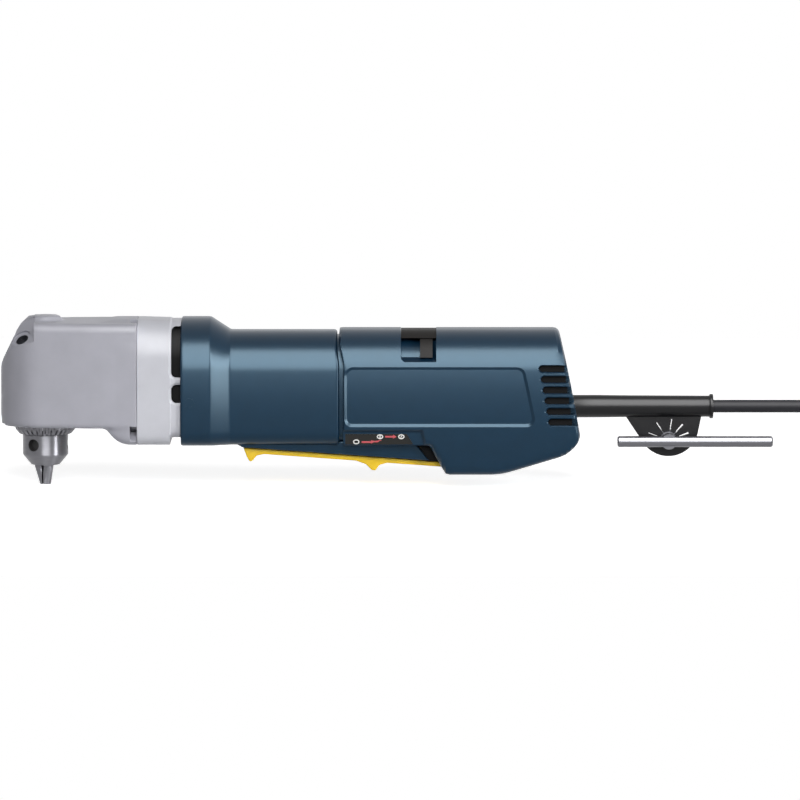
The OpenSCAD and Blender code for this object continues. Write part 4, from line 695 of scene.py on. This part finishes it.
# black cheeks that close the gap between the keel's end and the belly beside the lever: the switch body's sides, and
# painted shade in that gap
shadeCheek = prism(np.array([(219.5, -39.5), (233.5, -39.5), (241.0, -51.2), (229.0, -50.2)]), -18.5, -17.0, edge=0.3)
place("leverCheeksSwitchAndShade", meshFrom("leverCheeksSwitchAndShade", bothSides(shadeCheek)), "black_plastic", "housing")


# rear shells: one form, split down the middle, with side panels, vents, slider window and label beds
rear = {"x": 176.4, "end": 320.0, "halfWidth": 28.5, "top": 27.9, "cornerR": 23.0, "belly": 58.0,
        "window": (213.4, 234.4, 9.8), "windowDeep": 4.0,   # the window's front, rear and lower edge
        "vents": 6, "ventL": 24.4, "ventStep": 1.1, "ventTop": 5.8, "ventPitch": 6.4, "ventH": 4.1,
        "panelY": -27.5, "bedY": -26.6}


def rearForm(x, y, z):
    # Half-planes of the side outline, eased at their corners, met by a section with wide top corners; the
    # window is sunk to a smaller section of the same kind, with a sloped ledge below and on the right and a cut
    # corner, and a fine groove marks the joint of the shells.
    notch = roundMin(-grip["drop"] - z, plane(x, z, 230.3, -grip["drop"], -16.8, -9.4), 1.0)
    low = softMax(softMax(notch, -rear["belly"] - z, 1.5), plane(x, z, 273.0, -rear["belly"], 12.0, -40.3), 2.0)
    back = softMax(plane(x, z, rear["end"], -32.0, 38.0, 5.8), plane(x, z, 314.2, 6.0, 21.9, 6.0), 6.0)
    back = softMax(back, plane(x, z, 313.3, -46.0, 8.0, -6.4), 3.0)
    side = roundMax(np.abs(y) - rear["halfWidth"], z - rear["top"], rear["cornerR"])
    body = roundMax(roundMax(side, low, 4.0), back, 3.0)
    x0, x1, z0 = rear["window"]
    ramp = np.minimum(np.clip((z - z0) / 2.6, 0, 1), np.clip((x1 - x) / 2.2 + np.clip((z - 21.5) / 1.5, 0, 1), 0, 1))
    deep = rear["windowDeep"] * np.minimum(ramp, np.clip(x - x0 + z - z0 - 2.0, 0, 1))
    sunk = roundMax(np.abs(y) - rear["halfWidth"] + deep, z - rear["top"] + deep, rear["cornerR"] - deep)
    window = np.maximum(np.maximum(x0 - x, x - x1), z0 - z)
    body = np.maximum(body, -np.maximum(window, -sunk))
    return roundMax(body, rear["x"] + rimBack(z) - x, 1.2) + 0.3 * np.exp(-(y / 0.4) ** 2)


rows = steps((182, 212.8, 2.5), (213.0, 213.8, 0.1), (214, 217, 0.4), (217, 232, 2.0), (232, 234, 0.3),
             (234.0, 234.8, 0.1), (235, 300, 2.5))
columns = ringColumns(13.0, -30.0, 1.6, 40, extra=[(9.4, 12.8, 0.13)])
shell = skin(rearForm, rows, columns, rear["x"] + 2.0, 317.0, 29.0)
cuts, rims, ventShadeBlocks = [], [], []
for i in range(rear["vents"]):   # vents, open to the rear edge, chamfered, with black blocks inside as painted shade
    x0, z0 = rear["end"] - rear["ventL"] + rear["ventStep"] * i, rear["ventTop"] - rear["ventPitch"] * i
    r = rear["ventH"] / 2
    vent = rounded([(x0, z0 - r, r), (340, z0 - r, 0), (340, z0 + r, 0), (x0, z0 + r, r)])
    cuts.append(prism(vent, -40.0, -14.0))
    rims.append(prism(vent, -29.4, -27.9, flare=1.4))
    x1 = 318.5 - 0.15 * (z0 + 26.2) - 3.0   # 3 mm inside the leaning rear face
    ventShadeBlocks.append(prism(rounded([(x0 + 0.1, z0 - r + 0.1, r - 0.2), (x1, z0 - r + 0.1, 0), (x1, z0 + r - 0.1, 0),
                                (x0 + 0.1, z0 + r - 0.1, r - 0.2)]), -25.0, -14.2))
panel = rounded([(181.2, -27.2, 3.0), (292.2, -27.2, 3.0), (285.4, 5.2, 4.0), (181.2, 5.2, 4.0)])
cuts.append(prism(panel, -30.0, rear["panelY"], flare=4.5))
bed = np.array([(170.0, -32.4), (225.0, -32.4), (227.6, -43.0), (170.0, -43.0)])
cuts.append(prism(bed, -32.0, rear["bedY"], flare=5.4))
slot = prism(np.array([(225.4, -42.2), (225.4, -70.0), (240.5, -70.0), (240.5, -42.2)]), -grip["slotHalf"],
             grip["slotHalf"])
shellMesh = carve(carve(meshFrom("rearShells", shell), slot, bothSides(*cuts)), bothSides(*rims))
place("rearShellLeft", halved(shellMesh, -1), "housing", "housing", ["rear_shell_left"], 18.0)
place("rearShellRight", halved(shellMesh, 1), "housing", "housing", ["rear_shell_right"], 18.0)
# black blocks in the vents: painted shade of the dark hollow behind them
place("ventPaintedShade", meshFrom("ventPaintedShade", bothSides(*ventShadeBlocks)), "black_plastic", "housing")


# trigger lever: a plate under the keel's mouth with a hooked front end and a finger stop
lever = {"l": 119.0, "t": 3.6, "halfWidth": 16.4, "lug": (5.0, 13.0)}


def below(d, drop, r=0):   # a corner of radius r, d mm along the mouth and drop below it
    x = mouth["x"] + d
    return x, mouthZ(x) - drop, r


leverLine = rounded([
    (119.1, -42.6, 0), (121.1, -48.0, 0.6), (122.9, -51.2, 1.0), (124.7, -50.4, 1.0), (127.1, -47.4, 1.5),
    below(13, lever["t"]), below(68, lever["t"]), below(74, 5.4, 2.0), below(77.4, 8.6, 0.8), below(79.6, 8.6, 0.8),
    below(82, 5.2, 1.5), below(86.5, lever["t"]), below(lever["l"], lever["t"]), below(lever["l"], 0.6),
    below(8, 0.5)], 4)
leverPlate = prism(leverLine, -lever["halfWidth"], lever["halfWidth"], edge=0.7)
lugLine = rounded([(118.9, -36.0, 1.0), (119.6, -45.0, 0), (127.9, -45.0, 0), (125.2, -36.0, 1.0),
                   (122.05, -33.7, 1.5)])
lug = prism(lugLine, *lever["lug"], edge=0.4)   # one each side of the spring
place("triggerLever", meshFrom("triggerLever", joined(leverPlate, lug, mirrored(lug))), "lever", "lever", ["trigger"])


# chuck sleeve: turned ring with bevel teeth for the key on its lower rim
chuck = {"rimZ": -35.4, "teeth": 30, "toothDeep": 1.3, "keyHoleZ": -41.7, "keyHoleA": (0, 120, 240)}
z0 = chuck["rimZ"]
sleeveLine = [(14.7, z0), (15.2, z0 - 0.1), (15.8, z0 + 0.3), (16.5, z0 + 1.1), (17.2, z0 + 1.9), (17.8, z0 + 2.6),
              (18.0, z0 + 3.2), (18.0, z0 + 5.0), (17.4, z0 + 5.8), (17.4, z0 + 12.6), (17.1, z0 + 13.0),
              (16.25, z0 + 13.0), (14.7, z0 + 3.2), (14.7, z0 + 1.5)]
toothed = np.array([0, 0.6, 1.0, 1.0, 1.0, 0.9, 0.5] + [0] * 7)   # how far each point of that profile has the teeth


def toothWave(a, k):   # trapezoid teeth: a cosine cut off above and below, and the rim falls back between them
    return -chuck["toothDeep"] * toothed[k] * np.clip(0.5 - 2.2 * np.cos(a * chuck["teeth"]), 0, 1)


sleeveMesh = meshFrom("chuckSleeve", turned(sleeveLine, count=480, swing=toothWave))
place("chuckSleeve", sleeveMesh, "chuck_steel", "chuck_ring", ["chuck_sleeve"], 28.0)


# dark linings of the three key holes in the chuck body: painted shade of the holes' depth
holeShade = turned([(core, 9.0), (3.64, 9.0), (3.64, 13.0), (3.45, 13.0), (3.45, 9.3), (core, 9.3)], count=40)
holeShades = [setAt(holeShade, (0, 0, chuck["keyHoleZ"]), (-math.sin(a), math.cos(a), 0), (0, 0, 1),
                 (math.cos(a), math.sin(a), 0)) for a in np.radians(chuck["keyHoleA"])]
place("keyHoleShadeLinings", meshFrom("keyHoleShadeLinings", joined(*holeShades)), "carbon", "spindle")


# cord sleeve: rubber tube with an end rim, and a flap below it that holds the key in a hole with cut tongues
boot = {
    "z": lead["z"], "r": 6.6, "x": 306.0, "end": 400.6,
    "flapX": 373.9, "flapZ": -31.2, "flapR": 18.1, "flapT": 3.0, "flapTop": -20.5,
    "keyZ": -39.6, "holeR": 5.2, "seatR": 7.45,
    "slitFrom": 4.4, "slitTo": 12.8,
    "slits": ((-70, 0.25), (-34, 0.25), (9, 0.3), (42, 0.55), (70, 0.55)),   # lean from upright, half width at the end
}
r, x0, x1 = boot["r"], boot["x"], boot["end"]
bootLine = [(4.0, x0), (7.9, x0 + 0.2), (7.9, x0 + 5.0), (r + 0.2, x0 + 7.0), (r + 0.2, 330.0), (r, 345.0),
            (r - 0.15, 372.0), (r - 0.25, x1 - 3.0), (r - 0.1, x1 - 2.3), (r + 0.5, x1 - 2.1), (r + 0.75, x1 - 1.7),
            (r + 0.75, x1 - 0.5), (r + 0.4, x1), (4.4, x1), (4.0, x1 - 0.4)]
arc = np.radians(np.linspace(212, 349, 41))   # between the tangents to the flap's upper corners
flapArc = boot["flapR"] * np.stack([np.cos(arc), np.sin(arc)], 1) + (boot["flapX"], boot["flapZ"])
flapLine = np.concatenate([[(345.0, boot["flapTop"])], flapArc, [(394.5, boot["flapTop"])]])
flap = meshFrom("flap", prism(flapLine, -boot["flapT"] / 2, boot["flapT"] / 2, edge=0.5))
hole = turned([(core, -3), (boot["holeR"], -3), (boot["holeR"], -0.75), (boot["seatR"], -0.75), (boot["seatR"], 3),
               (core, 3)], (boot["flapX"], 0, boot["keyZ"]), 1, 64)
slits = []
for lean, half in boot["slits"]:   # wedges that widen away from the hole
    a = math.radians(lean)
    along, across = np.array([math.sin(a), math.cos(a)]), np.array([math.cos(a), -math.sin(a)])
    near, far = boot["slitFrom"] * along, boot["slitTo"] * along
    corners = np.array([near - 0.2 * across, near + 0.2 * across, far + half * across, far - half * across])
    slits.append(prism(corners + (boot["flapX"], boot["keyZ"]), -3.0, 3.0))
flap = carve(carve(flap, hole), *slits)
tubeMesh = meshFrom("boot", turned(bootLine, (0, 0, boot["z"]), 0, 72))
place("cordSleeve", tubeMesh, "rubber", "housing", ["cord_sleeve"], 40.0)
place("keyFlap", flap, "rubber", "housing")


# switch labels: black film on the beds beside the lever, with plain rings and arrows
marks = {"y": rear["bedY"], "filmT": 0.2, "rings": ((186.7, -38.0), (200.9, -34.9), (213.6, -34.9)),
         "ringR": (1.9, 1.45), "ringW": 0.62}


def printed(outline, high):   # a mark printed on the film, high mm above the bed
    return prism(np.array(outline, float), marks["y"] - high, marks["y"] - 0.02)


filmLine = rounded([(180.2, -33.3, 0.4), (216.9, -33.3, 0.4), (220.8, -39.6, 0.4), (180.2, -39.6, 0.4)], 3)
film = prism(filmLine, marks["y"] - marks["filmT"], marks["y"])
rings = [band(oval(x, z, *marks["ringR"]), marks["ringW"], marks["y"] - 0.26, marks["y"] - 0.1, 1)
         for x, z in marks["rings"]]
rings.append(printed([(200.6, -35.7), (201.2, -35.7), (201.2, -34.1), (200.6, -34.1)], 0.26))
rings.append(printed([(213.0, -35.5), (213.5, -35.6), (214.2, -34.3), (213.7, -34.2)], 0.26))
arrows = [
    printed([(189.9, -38.6), (195.5, -38.6), (195.5, -39.1), (197.2, -38.2), (199.8, -38.2), (200.6, -37.3),
             (201.9, -37.3), (201.0, -36.7), (199.4, -37.3), (197.4, -37.4), (195.5, -37.0), (195.5, -37.6),
             (189.9, -37.6)], 0.25),
    printed([(204.0, -35.4), (208.6, -35.4), (208.6, -36.1), (210.8, -34.9), (208.6, -33.7), (208.6, -34.4),
             (204.0, -34.4)], 0.25)]
finishes["white_print"] = finished("whiteScreenInk", "#d8d8d4", 0.45, grain=0.6, bump=0.005, mottle=0.06)
finishes["red_print"] = finished("redScreenInk", "#b02733", 0.45, grain=0.6, bump=0.005, mottle=0.08)
place("labelFilm", meshFrom("labelFilm", bothSides(film)), "label", "housing", ["switch_labels"])
place("labelRings", meshFrom("labelRings", bothSides(*rings)), "white_print", "housing")
place("labelArrows", meshFrom("labelArrows", bothSides(*arrows)), "red_print", "housing")
